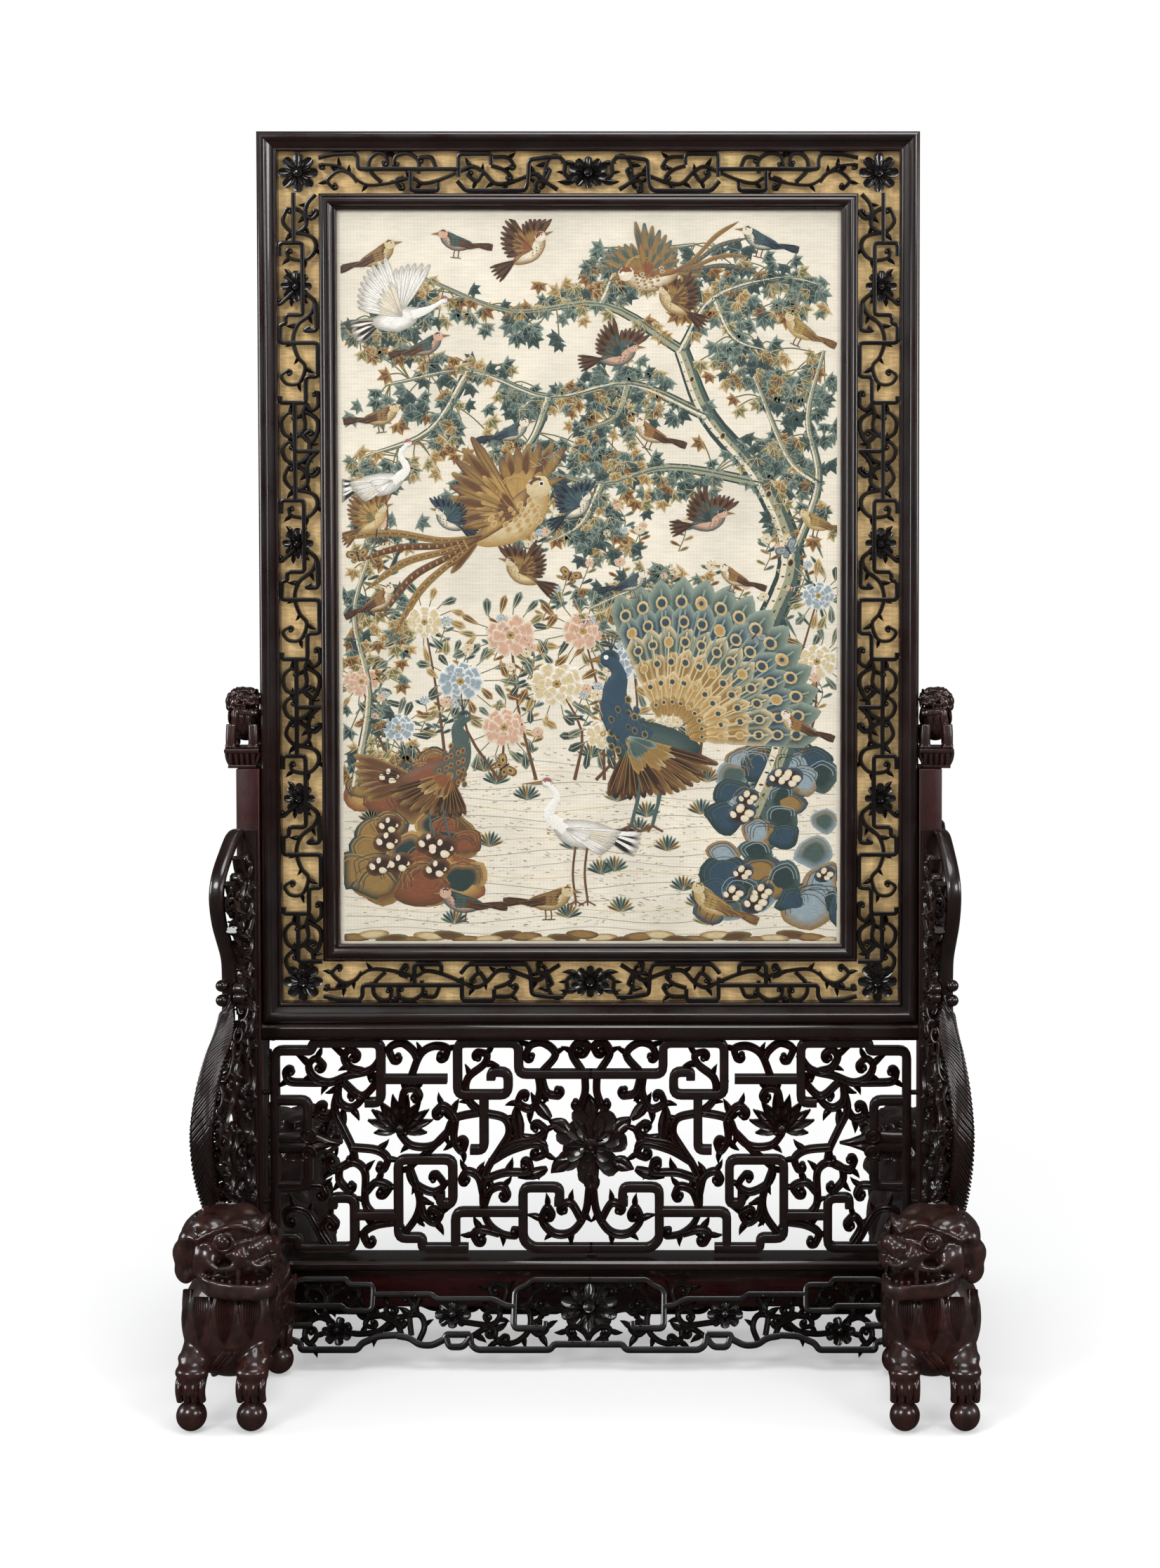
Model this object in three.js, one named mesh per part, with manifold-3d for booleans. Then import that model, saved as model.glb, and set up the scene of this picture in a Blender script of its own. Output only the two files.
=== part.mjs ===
// A standing screen of carved hardwood: a framed silk panel with a pierced fretwork border, which slides
// down between the two posts of a carved stand. Millimetres, +Z up, the front faces -Y, the floor is Z = 0
// and the origin lies on the floor under the middle of the stand.
import * as THREE from "three";
import { mergeVertices } from "three/addons/utils/BufferGeometryUtils.js";
import Module from "manifold-3d";

const wasm = await Module();
wasm.setup();

// The gap left between pieces that touch.
const gap = 0.3;

// The framed screen, centred on the plane Y = 0.
const screenWidth = 994;
const screenHeight = 1346;
const screenBottom = 508;
const outerFrameWidth = 30;
const outerFrameDepth = 46;
const outerRebate = 9;
const borderWidth = 62;
const innerFrameWidth = 26;
const innerFrameSetback = 4;
const innerRebate = 6;
const liningFront = 3;
const liningThickness = 4;
const backPanelThickness = 12;
const battenHeight = 38;
const battenDepth = 11;
const battenHousing = 8;
const silkThickness = 6;
const fretThickness = 9;
const fretSetback = 9;
const flowerThickness = 11;
const cornerPetals = 8;

// The sliding fit between the screen and the posts.
const tongueWidth = 12;
const tongueDepth = 9;
const tongueTopInset = 8;
const slideClearance = 1;

// The posts and the rails between them.
const postWidth = 34;
const postDepth = 60;
const postTop = 896;
const postFoot = 74;
const postGap = 0.8;
const upperRailHeight = 27;
const upperRailDepth = 46;
const lowerRailTop = 145;
const lowerRailHeight = 15;
const lowerRailDepth = 60;
const tenonLength = 14;
const tenonShoulder = 4;
const skirtHeight = 62;
const skirtThickness = 14;
const skirtTongue = 4;

// The pierced panel between the rails.
const panelLift = 6;
const panelSideGap = 10;
const panelThickness = 18;
const barWidth = 13;
const vineWidth = 9;
const vineTip = 5.5;
const budWidth = 14;
const pegRadius = 4;
const pegDepth = 8;
const pegHeights = [78, 246];
const spacerWidth = 17;

// The slanting aprons, front and back.
const apronHeight = 112;
const apronThickness = 12;
const apronSlant = 28;
const apronStandOff = 1;
const apronDrop = 2;
const apronBarWidth = 8;
const apronVineWidth = 6;

// The carved spandrels that brace each post, front and back.
const spandrelSplay = 8;
const spandrelThickness = 42;
const spandrelCarving = 32;
const spandrelHeight = 602;
const rimWidth = 16;
const spandrelReach = 190;
const beadReach = 58;
const beadRadius = 11;
const beadHeights = [353, 375];

// The feet: each is a block carved as two lions back to back, on turned balls.
const footInset = 11.8;
const footHalfWidth = 46;
const footDeck = 205;
const footFloor = 46;
const deckReach = 150;
const beardFront = 320;
const tuftThickness = 24;
const tuftHalf = 15;
const tufts = [[-27, 62], [0, 74], [27, 62]];
const headTurn = 50;
const legRadius = 27;
const foreLegTop = 150;
const hindLegTop = 106;

// The soft forms of a lion: middles from its foot's centre on the floor, and half sizes.
const chest = { middle: [0, -226, 134], half: [75, 97, 88] };
const rump = { middle: [0, -110, 134], half: [66, 112, 76] };
const headMiddle = [2, -262, 250];

// The forms of its head, from the head's own middle, drawn as it faces the front.
const skull = { middle: [0, 14, 6], half: [60, 62, 46] };
const muzzle = { middle: [0, -44, 4], half: [44, 44, 21] };
const jaw = { middle: [0, -28, -52], half: [54, 58, 21] };
const brow = { middle: [34, -38, 24], half: [22, 22, 22] };
const ear = { middle: [60, 24, -12], half: [14, 25, 38] };
const mouth = { front: -130, back: -46, low: -31, high: -15 };
const ballRadius = 21.5;
const ballFlat = 0.6;
const ballRings = 4;
const ballSides = 8;
const ballDowelRadius = 6;
const ballDowelLength = 16;
const ballSpread = 42.5;
const foreBall = 317;
const hindBall = 98;

// The finials: small seated lions on lotus bases.
const finialWidth = 53;
const finialDepth = 56;
const finialHeight = 124;
const finialBaseHeight = 27;
const finialDowelRadius = 6;
const finialDowelLength = 24;

const hongmu = new THREE.MeshStandardMaterial({ color: 0x2e1710, roughness: 0.32, metalness: 0 });
const redHongmu = new THREE.MeshStandardMaterial({ color: 0x4a1c12, roughness: 0.38, metalness: 0 });
const ebonised = new THREE.MeshStandardMaterial({ color: 0x1c1210, roughness: 0.3, metalness: 0 });
const goldenSilk = new THREE.MeshStandardMaterial({ color: 0xb88a4a, roughness: 0.7, metalness: 0 });
const ivorySilk = new THREE.MeshStandardMaterial({ color: 0xe9dfca, roughness: 0.6, metalness: 0 });

const outerFront = -outerFrameDepth / 2;
const outerBack = outerFrameDepth / 2;
const postInner = screenWidth / 2 + postGap;
const postOuter = postInner + postWidth;
const postCentre = postInner + postWidth / 2;
const footCentre = postCentre - footInset;
const upperRailTop = screenBottom - gap;
const upperRailBottom = upperRailTop - upperRailHeight;
const lowerRailBottom = lowerRailTop - lowerRailHeight;
const panelBottom = lowerRailTop + panelLift;
const panelTop = upperRailBottom - gap;
const panelHalfWidth = postInner - panelSideGap;
const apronTop = lowerRailBottom - apronDrop;
const apronHalfWidth = footCentre - footHalfWidth - gap;
const shoulderAngle = Math.asin(ballDowelRadius / ballRadius);
const ballShoulder = ballRadius * (1 + Math.cos(shoulderAngle)) - ballFlat;

// Turns a closed three.js geometry into a solid that can be joined and cut.
function solidOf(geometry) {
  const bare = geometry.index ? geometry.toNonIndexed() : geometry.clone();
  for (const name of Object.keys(bare.attributes)) {
    if (name !== "position") bare.deleteAttribute(name);
  }
  const merged = mergeVertices(bare, 1e-4);
  return solidFrom(merged.attributes.position.array, merged.index.array);
}

function solidFrom(positions, triangles) {
  const mesh = new wasm.Mesh({
    numProp: 3,
    vertProperties: new Float32Array(positions),
    triVerts: new Uint32Array(triangles),
  });
  return new wasm.Manifold(mesh);
}

function geometryOf(solid) {
  const mesh = solid.getMesh();
  const geometry = new THREE.BufferGeometry();
  geometry.setAttribute("position", new THREE.BufferAttribute(mesh.vertProperties, 3));
  geometry.setIndex(new THREE.BufferAttribute(mesh.triVerts, 1));
  geometry.computeVertexNormals();
  return geometry;
}

const join = (solids) => solids.reduce((whole, piece) => whole.add(piece));

const cut = (solid, ...tools) => tools.reduce((whole, tool) => whole.subtract(tool), solid);

const both = (half) => half.add(half.mirror([1, 0, 0]));

// A box given by its lowest and highest corners.
function block(x0, x1, y0, y1, z0, z1) {
  const box = new THREE.BoxGeometry(x1 - x0, y1 - y0, z1 - z0);
  box.translate((x0 + x1) / 2, (y0 + y1) / 2, (z0 + z1) / 2);
  return solidOf(box);
}

function ellipsoid(centre, radii, around = 10, rings = 7) {
  const ball = new THREE.SphereGeometry(1, around, rings);
  ball.rotateX(Math.PI / 2);
  ball.scale(radii[0], radii[1], radii[2]);
  ball.translate(centre[0], centre[1], centre[2]);
  return solidOf(ball);
}

// An upright cylinder.
function peg(x, y, radius, z0, z1, sides = 10) {
  const cylinder = new THREE.CylinderGeometry(radius, radius, z1 - z0, sides);
  cylinder.rotateX(Math.PI / 2);
  cylinder.translate(x, y, (z0 + z1) / 2);
  return solidOf(cylinder);
}

// A solid band that follows a path of [u, v] points, from depth 0 to depth, with mitred corners. Its width is
// the same all along, or it is looked up for each point.
function band(path, depth, width) {
  const positions = [];
  const triangles = [];
  const last = path.length - 1;
  path.forEach(([u, v], i) => {
    const before = path[Math.max(i - 1, 0)];
    const after = path[Math.min(i + 1, last)];
    const inward = new THREE.Vector2(u - before[0], v - before[1]).normalize();
    const outward = new THREE.Vector2(after[0] - u, after[1] - v).normalize();
    if (i === 0) inward.copy(outward);
    if (i === last) outward.copy(inward);
    const along = inward.clone().add(outward).normalize();
    const mitre = 1 / Math.max(along.dot(inward), 0.7);
    const wide = typeof width === "function" ? width(i, last) : width;
    const half = (wide / 2) * mitre;
    const side = [-along.y * half, along.x * half];
    positions.push(u + side[0], v + side[1], 0, u - side[0], v - side[1], 0);
    positions.push(u - side[0], v - side[1], depth, u + side[0], v + side[1], depth);
  });
  for (let i = 0; i < last; i++) {
    for (let k = 0; k < 4; k++) {
      const a = 4 * i + k;
      const b = 4 * i + ((k + 1) % 4);
      triangles.push(a, b + 4, b, a, a + 4, b + 4);
    }
  }
  const end = 4 * last;
  triangles.push(0, 1, 2, 0, 2, 3, end, end + 2, end + 1, end, end + 3, end + 2);
  return solidFrom(positions, triangles);
}

// A flat plate of the given outline.
function plate(outline, depth) {
  const shape = new THREE.Shape(outline.map(([u, v]) => new THREE.Vector2(u, v)));
  return solidOf(new THREE.ExtrudeGeometry(shape, { depth, bevelEnabled: false }));
}

function disc(u, v, radius, depth, sides = 6) {
  const outline = [];
  for (let i = 0; i < sides; i++) {
    const angle = (2 * Math.PI * i) / sides;
    outline.push([u + radius * Math.cos(angle), v + radius * Math.sin(angle)]);
  }
  return plate(outline, depth);
}

// Fretwork drawn in u and v: square bars, vines that start in a broad bud, and flowers in outline.
function fretwork({ bars, vines, blossoms }, depth, sizes) {
  const vineWidthAt = (i, last) => (i === 0 ? sizes.bud : THREE.MathUtils.lerp(sizes.tip, sizes.vine, i / last));
  const pieces = bars.map((path) => band(path, depth, sizes.bar));
  for (const path of vines) pieces.push(band(path, depth, vineWidthAt));
  for (const outline of blossoms) pieces.push(plate(outline, depth));
  return join(pieces);
}

// How far the bars of a drawing reach along one of its axes, u (0) or v (1).
const reachOf = (pattern, axis) => Math.max(...pattern.bars.flat().map((point) => point[axis]));

// Stands a flat u, v solid up, so that u is X and v is Z, with its front at the given Y.
const stand = (flat, front, depth) => flat.rotate([90, 0, 0]).translate([0, front + depth, 0]);

const root = new THREE.Group();
const screen = new THREE.Group();
const standGroup = new THREE.Group();
root.add(screen, standGroup);

function place(group, name, solid, material) {
  const mesh = new THREE.Mesh(geometryOf(solid), material);
  mesh.name = name;
  group.add(mesh);
}

// The pattern of the large pierced panel, for one half: u outwards from the middle, v up from its foot.
const panelPattern = {
  bars: [
    [[344, 231], [320, 231], [320, 323], [424, 323], [424, 311], [481, 311], [481, 23], [447, 23], [447, 7],
      [361, 7], [361, 84], [394, 84], [394, 68]],
    [[320, 267], [219, 267]],
    [[152, 266], [152, 278], [126, 278], [126, 243], [203, 243], [203, 323], [110, 323], [110, 275], [-2, 275]],
    [[163, 243], [163, 158], [184, 158]],
    [[481, 234], [431, 234], [431, 184]],
    [[481, 102], [431, 102], [431, 152]],
    [[230, 92], [230, 75], [211, 75], [211, 143], [294, 143], [294, 22], [258, 22], [258, 6], [188, 6]],
    [[207, 6], [207, 62], [104, 62]],
    [[56, 78], [48, 78], [48, 100], [104, 100], [104, 19], [90, 6], [-2, 6]],
    [[361, 57], [294, 57]],
  ],
  vines: [
    [[409, 290], [422, 272], [369, 270], [317, 300]],
    [[357, 306], [370, 290], [350, 268]],
    [[302, 297], [304, 314], [262, 290]],
    [[221, 301], [234, 316], [276, 267]],
    [[465, 272], [392, 266]],
    [[357, 243], [372, 226], [382, 268]],
    [[360, 143], [378, 190], [385, 268]],
    [[416, 223], [404, 206], [384, 228]],
    [[314, 130], [314, 148], [365, 161]],
    [[402, 138], [372, 132], [345, 120], [332, 56]],
    [[370, 98], [384, 112], [372, 136]],
    [[464, 46], [444, 64], [402, 10]],
    [[343, 14], [344, 34], [294, 46]],
    [[290, 180], [262, 162], [226, 178], [207, 206], [162, 216]],
    [[262, 243], [278, 253], [289, 226]],
    [[166, 306], [189, 266], [184, 230], [164, 214]],
    [[192, 166], [207, 200]],
    [[118, 24], [160, 50], [155, 134], [125, 184], [162, 214]],
    [[60, 196], [90, 176], [142, 158]],
    [[94, 130], [160, 112]],
    [[197, 115], [158, 90]],
    [[8, 307], [24, 318], [14, 278]],
    [[99, 304], [60, 316], [76, 276]],
    [[52, 241], [72, 250], [76, 272]],
    [[56, 74], [64, 34], [29, 31], [4, 64], [3, 100]],
    [[234, 118], [230, 96], [276, 112], [268, 142], [226, 180]],
    [[284, 30], [262, 66], [270, 104]],
    [[175, 18], [140, 38]],
  ],
  blossoms: [
    [[481, 158], [481, 184], [440, 186], [426, 191], [414, 182], [378, 170], [414, 160], [426, 149], [440, 156]],
    [[251, 214], [240, 206], [244, 180], [291, 178], [338, 180], [342, 208], [314, 234], [291, 238], [268, 234]],
    [[-2, 92], [26, 102], [58, 104], [62, 146], [72, 168], [60, 206], [28, 234], [-2, 236]],
  ],
};

// The border strip above and below the silk, for one half, with v up from its lower edge.
const crossPattern = {
  bars: [
    [[408, 9], [351, 2.5], [346, 26], [195, 26]],
    [[267, 26], [267, 59.5], [226, 59.5], [226, 46]],
    [[195, 38], [195, 2.5], [146, 2.5], [146, 26]],
    [[197, 44], [185, 59.5], [96, 59.5], [89, 12], [40, 8]],
  ],
  vines: [
    [[399, 19], [372, 23], [340, 46], [267, 39], [226, 43], [175, 22], [141, 47], [46, 57]],
    [[384, 54], [386, 32], [356, 34]],
    [[302, 16], [324, 10], [311, 44]],
    [[290, 18], [262, 8], [256, 40]],
    [[117, 36], [150, 26]],
    [[58, 30], [48, 12], [30, 38]],
  ],
  blossoms: [
    [[-1, 8], [14, 10], [34, 28], [44, 40], [26, 56], [-1, 58]],
  ],
};

// One repeat of the border strip beside the silk: u across the strip from its middle, v up.
const sideRepeats = 3;
const sideOverlap = 1;
const sidePattern = {
  bars: [
    [[31, 0], [-7, 0], [-7, 73]],
    [[-7, 314], [-7, 388]],
    [[-28.5, 293], [-28.5, 313], [6, 313], [6, 205], [-24, 205], [-24, 163], [28.5, 163], [28.5, 112],
      [10, 112], [10, 73], [-28.5, 73], [-28.5, 83]],
  ],
  vines: [
    [[-7, 10], [-24, -4], [12, -10], [0, 26], [-7, 40]],
    [[-18, 358], [-20, 334], [10, 338], [-7, 366]],
    [[-18, 121], [0, 103], [-9, 166], [16, 205], [4, 240]],
    [[-20, 54], [-25, 36], [-6, 21]],
    [[16, 26], [24, 50], [10, 76]],
  ],
  blossoms: [
    [[20, 246], [0, 268], [-26, 252], [-16, 230], [8, 228]],
  ],
};

// The apron, for one half, with v up along its slope from its lowest edge.
const apronPattern = {
  bars: [
    [[449, 68], [372, 68], [366, 61], [327, 61], [327, 99], [364, 99], [368, 107], [453, 107], [453, 22],
      [431, 5], [346, 5], [334, 20], [287, 26], [254, 12], [234, 11], [213, 27], [178, 28], [166, 5], [57, 5],
      [51, 13], [-2, 13]],
    [[453, 40], [416, 40]],
    [[327, 85], [238, 85], [230, 78], [143, 78], [113, 67]],
    [[66, 46], [66, 36], [113, 36], [113, 98], [-2, 104]],
  ],
  vines: [
    [[416, 78], [404, 88], [388, 45]],
    [[356, 84], [380, 88], [396, 66]],
    [[411, 33], [418, 16], [388, 40]],
    [[325, 42], [280, 24]],
    [[294, 67], [266, 54], [255, 14]],
    [[148, 92], [130, 94], [130, 72]],
    [[156, 60], [140, 46], [196, 48]],
    [[128, 24], [96, 20], [100, 66]],
    [[59, 84], [80, 92], [113, 64]],
    [[66, 24], [20, 36]],
  ],
  blossoms: [
    [[396, 49], [357, 50], [357, 36], [372, 12], [387, 14], [401, 31]],
    [[226, 80], [184, 80], [186, 38], [228, 54]],
    [[-1, 104], [40, 80], [50, 50], [20, 30], [-1, 24]],
  ],
};

// A spandrel: r out from the post's face and v up from the foot's deck.
const spandrelPattern = {
  rim: [[7, 594], [30, 592], [64, 571], [98, 536], [103, 506], [84, 458], [56, 420], [50, 342], [80, 296],
    [144, 250], [176, 196], [172, 142], [140, 84], [100, 44], [36, 32]],
  bars: [
    [[5, 0], [5, 600]],
    [[0, 5], [104, 5]],
    [[96, 5], [76, 36]],
  ],
  vines: [
    [[30, 562], [24, 540], [70, 568]],
    [[34, 510], [26, 482], [60, 500], [5, 526]],
    [[72, 492], [66, 466], [92, 470]],
    [[34, 452], [28, 426], [70, 440]],
    [[58, 364], [5, 360]],
    [[34, 330], [26, 302], [66, 322]],
    [[58, 214], [50, 250], [100, 254], [70, 180], [5, 190]],
    [[122, 240], [112, 212], [156, 232]],
    [[142, 188], [126, 162], [168, 156]],
    [[74, 132], [70, 102], [116, 150], [88, 206]],
    [[34, 104], [28, 68], [62, 112], [5, 128]],
  ],
};

const panelSizes = { bar: barWidth, vine: vineWidth, tip: vineTip, bud: budWidth };
const borderSizes = { bar: 5, vine: 5, tip: 3.4, bud: 7 };
const apronSizes = { bar: apronBarWidth, vine: apronVineWidth, tip: 4.2, bud: 9 };
const carvingSizes = { bar: 10, vine: 14, tip: 8, bud: 18 };

// The sections of the frame members: s runs from the outer edge inwards and t is Y.
const outerSection = [
  [0, outerBack],
  [0, outerFront + 5],
  [3, outerFront + 1],
  [7, outerFront],
  [17, outerFront + 1],
  [20, outerFront + 5],
  [outerFrameWidth, outerFront + 8],
  [outerFrameWidth, liningFront - gap],
  [outerFrameWidth - outerRebate, liningFront - gap],
  [outerFrameWidth - outerRebate, outerBack],
];
const innerFront = outerFront + innerFrameSetback;
const innerBack = liningFront - gap;
const innerSection = [
  [0, innerBack],
  [0, innerFront + 6],
  [4, innerFront + 1],
  [9, innerFront],
  [15, innerFront + 2],
  [18, innerFront + 6],
  [innerFrameWidth, innerFront + 8],
  [innerFrameWidth, innerBack - silkThickness - gap],
  [innerFrameWidth - innerRebate, innerBack - silkThickness - gap],
  [innerFrameWidth - innerRebate, innerBack],
];

// A frame member as long as its outer edge, mitred at 45 degrees at both ends. It lies along X with its
// outer edge on Z = 0 and its section growing towards +Z, before it is turned into its place.
function mitredMember(section, length) {
  const positions = [];
  const triangles = [];
  const n = section.length;
  for (const end of [-1, 1]) {
    for (const [s, t] of section) positions.push(end * (length / 2 - s), t, s);
  }
  for (let i = 0; i < n; i++) {
    const next = (i + 1) % n;
    triangles.push(i, n + next, next, i, n + i, n + next);
  }
  const contour = section.map(([s, t]) => new THREE.Vector2(s, t));
  for (const [a, b, c] of THREE.ShapeUtils.triangulateShape(contour, [])) {
    triangles.push(a, b, c, n + a, n + c, n + b);
  }
  return solidFrom(positions, triangles);
}

// Four mitred members round a rectangle, drawn back from their mitres by half the gap.
function frameMembers(section, width, height, bottom) {
  const long = mitredMember(section, height - gap);
  const short = mitredMember(section, width - gap);
  const shift = gap / 4;
  return {
    bottom: short.translate([0, 0, bottom - shift]),
    top: short.rotate([0, 180, 0]).translate([0, 0, bottom + height + shift]),
    left: long.rotate([0, 90, 0]).translate([-width / 2 - shift, 0, bottom + height / 2]),
    right: long.rotate([0, -90, 0]).translate([width / 2 + shift, 0, bottom + height / 2]),
  };
}

// Each stile has a groove on its outer edge, open below, that runs on the tongue of a post.
const tongueTop = postTop - tongueTopInset;
function stileGroove(sign) {
  const edges = [sign * (screenWidth / 2 - tongueDepth + postGap - slideClearance), sign * (screenWidth / 2 + 1)];
  const half = tongueWidth / 2 + slideClearance;
  return block(Math.min(...edges), Math.max(...edges), -half, half, screenBottom - 1, tongueTop + slideClearance);
}

const outer = frameMembers(outerSection, screenWidth, screenHeight, screenBottom);
for (const side of ["left", "right"]) {
  outer[side] = outer[side].subtract(stileGroove(side === "left" ? -1 : 1));
}
for (const side of ["top", "bottom"]) {
  outer[side] = cut(outer[side], stileGroove(-1), stileGroove(1));
}
for (const side of ["left", "right", "top", "bottom"]) place(screen, `outer_frame_${side}`, outer[side], hongmu);

const innerInset = outerFrameWidth + borderWidth;
const innerWidth = screenWidth - 2 * innerInset;
const innerHeight = screenHeight - 2 * innerInset;
const inner = frameMembers(innerSection, innerWidth, innerHeight, screenBottom + innerInset);
for (const side of ["left", "right", "top", "bottom"]) place(screen, `inner_frame_${side}`, inner[side], hongmu);

// The embroidered silk on its board, held in the inner frame's rebate.
const silkEdge = innerFrameWidth - innerRebate + gap;
const silkHalfWidth = innerWidth / 2 - silkEdge;
const silkBottom = screenBottom + innerInset + silkEdge;
const silkTop = screenBottom + screenHeight - innerInset - silkEdge;
place(screen, "embroidered_silk_panel",
  block(-silkHalfWidth, silkHalfWidth, innerBack - silkThickness, innerBack, silkBottom, silkTop), ivorySilk);

// The board lined with golden silk that shows behind the fretwork, the back panel and its battens.
const rebateEdge = outerFrameWidth - outerRebate + gap;
const rebateHalf = screenWidth / 2 - rebateEdge;
const rebateBottom = screenBottom + rebateEdge;
const rebateTop = screenBottom + screenHeight - rebateEdge;
place(screen, "silk_lined_board",
  block(-rebateHalf, rebateHalf, liningFront, liningFront + liningThickness, rebateBottom, rebateTop), goldenSilk);
const panelFace = liningFront + liningThickness + gap;
const panelBack = panelFace + backPanelThickness;
const battenFront = panelBack - battenHousing;
const battenPlaces = { lower: screenBottom + screenHeight / 4, upper: screenBottom + (screenHeight * 3) / 4 };
const battenHalf = battenHeight / 2;
place(screen, "back_panel",
  cut(block(-rebateHalf, rebateHalf, panelFace, panelBack, rebateBottom, rebateTop),
    ...Object.values(battenPlaces).map((z) => block(-rebateHalf - 1, rebateHalf + 1, battenFront, panelBack + 1,
      z - battenHalf - gap, z + battenHalf + gap))), redHongmu);
for (const [name, z] of Object.entries(battenPlaces)) {
  place(screen, `back_batten_${name}`,
    block(-rebateHalf, rebateHalf, battenFront + gap, battenFront + gap + battenDepth, z - battenHalf,
      z + battenHalf), redHongmu);
}

// The fretwork strips of the border, stretched from their drawings to the frame.
const fretFront = outerFront + fretSetback;
const stripHalf = borderWidth / 2;
const cornerReach = outerFrameWidth + borderWidth;

function flatBlock(u0, u1, v0, v1, depth) {
  return plate([[u0, v0], [u1, v0], [u1, v1], [u0, v1]], depth);
}

function crossStrip() {
  const half = screenWidth / 2 - cornerReach - gap;
  const drawnHeight = reachOf(crossPattern, 1) + borderSizes.bar / 2;
  const scale = [half / reachOf(crossPattern, 0), borderWidth / drawnHeight, 1];
  const drawn = both(fretwork(crossPattern, fretThickness, borderSizes)).scale(scale);
  return drawn.intersect(flatBlock(-half, half, gap, borderWidth - gap, fretThickness));
}

function sideStrip() {
  const length = screenHeight - 2 * cornerReach - 2 * gap;
  const repeat = length / sideRepeats;
  const drawnRepeat = reachOf(sidePattern, 1) - sideOverlap;
  const unit = fretwork(sidePattern, fretThickness, borderSizes)
    .scale([stripHalf / reachOf(sidePattern, 0), repeat / drawnRepeat, 1]);
  const units = [];
  for (let i = 0; i < sideRepeats; i++) units.push(unit.translate([0, i * repeat, 0]));
  return join(units).intersect(flatBlock(gap - stripHalf, stripHalf - gap, 0, length, fretThickness));
}

const across = stand(crossStrip(), fretFront, fretThickness);
place(screen, "fret_bottom", across.translate([0, 0, screenBottom + outerFrameWidth]), ebonised);
place(screen, "fret_top",
  across.mirror([0, 0, 1]).translate([0, 0, screenBottom + screenHeight - outerFrameWidth]), ebonised);
const sideCentre = screenWidth / 2 - outerFrameWidth - stripHalf;
const upright = stand(sideStrip(), fretFront, fretThickness).translate([-sideCentre, 0, screenBottom + cornerReach + gap]);
place(screen, "fret_left", upright, ebonised);
place(screen, "fret_right", upright.mirror([1, 0, 0]), ebonised);

// A flower whose petals nearly fill a corner square of the border, with a raised eye.
function cornerFlower() {
  const radius = stripHalf - gap;
  const outline = [];
  for (let i = 0; i < cornerPetals; i++) {
    for (const [turn, reach] of [[-0.25, radius], [0.25, radius], [0.5, radius * 0.6]]) {
      const angle = ((i + turn) / cornerPetals) * 2 * Math.PI;
      outline.push([reach * Math.cos(angle), reach * Math.sin(angle)]);
    }
  }
  const petals = plate(outline, fretThickness);
  return petals.add(disc(0, 0, radius / 4, flowerThickness, 8));
}

const rosette = cornerFlower();
for (const [sideName, sign] of [["left", -1], ["right", 1]]) {
  for (const [endName, z] of [["bottom", screenBottom + outerFrameWidth + stripHalf],
    ["top", screenBottom + screenHeight - outerFrameWidth - stripHalf]]) {
    const face = rosette.rotate([90, 0, 0]).translate([sign * sideCentre, fretFront + fretThickness, z]);
    place(screen, `corner_flower_${endName}_${sideName}`, face, ebonised);
  }
}

// A short dowel along X.
function crossPeg(x0, x1, radius, z) {
  return peg(0, 0, radius, x0, x1, 8).rotate([0, 90, 0]).translate([0, 0, z]);
}

// The posts: a tongue for the screen, mortises for the rails and pegs, and a hole for the finial.
const tenonHalf = lowerRailDepth / 2 - 2 * tenonShoulder;
const rails = [
  { name: "upper_rail", bottom: upperRailBottom, top: upperRailTop, depth: upperRailDepth },
  { name: "lower_rail", bottom: lowerRailBottom, top: lowerRailTop, depth: lowerRailDepth },
];

function post() {
  const shaft = block(postInner, postOuter, -postDepth / 2, postDepth / 2, postFoot, postTop);
  const tongue = block(postInner - tongueDepth, postInner + 1, -tongueWidth / 2, tongueWidth / 2, upperRailTop + gap,
    tongueTop);
  const mortises = rails.map(({ bottom, top, depth }) => {
    const half = depth / 2 - 2 * tenonShoulder + gap;
    return block(postInner - 1, postInner + tenonLength, -half, half, bottom + tenonShoulder - gap,
      top - tenonShoulder + gap);
  });
  const pegHoles = pegHeights.map((v) => crossPeg(postInner - 1, postInner + pegDepth, pegRadius + gap, panelBottom + v));
  const dowelHole = peg(postCentre, 0, finialDowelRadius + gap, postTop - finialDowelLength, postTop + 1);
  return cut(shaft.add(tongue), ...mortises, ...pegHoles, dowelHole);
}

const rightPost = post();
place(standGroup, "post_right", rightPost, redHongmu);
place(standGroup, "post_left", rightPost.mirror([1, 0, 0]), redHongmu);

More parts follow.
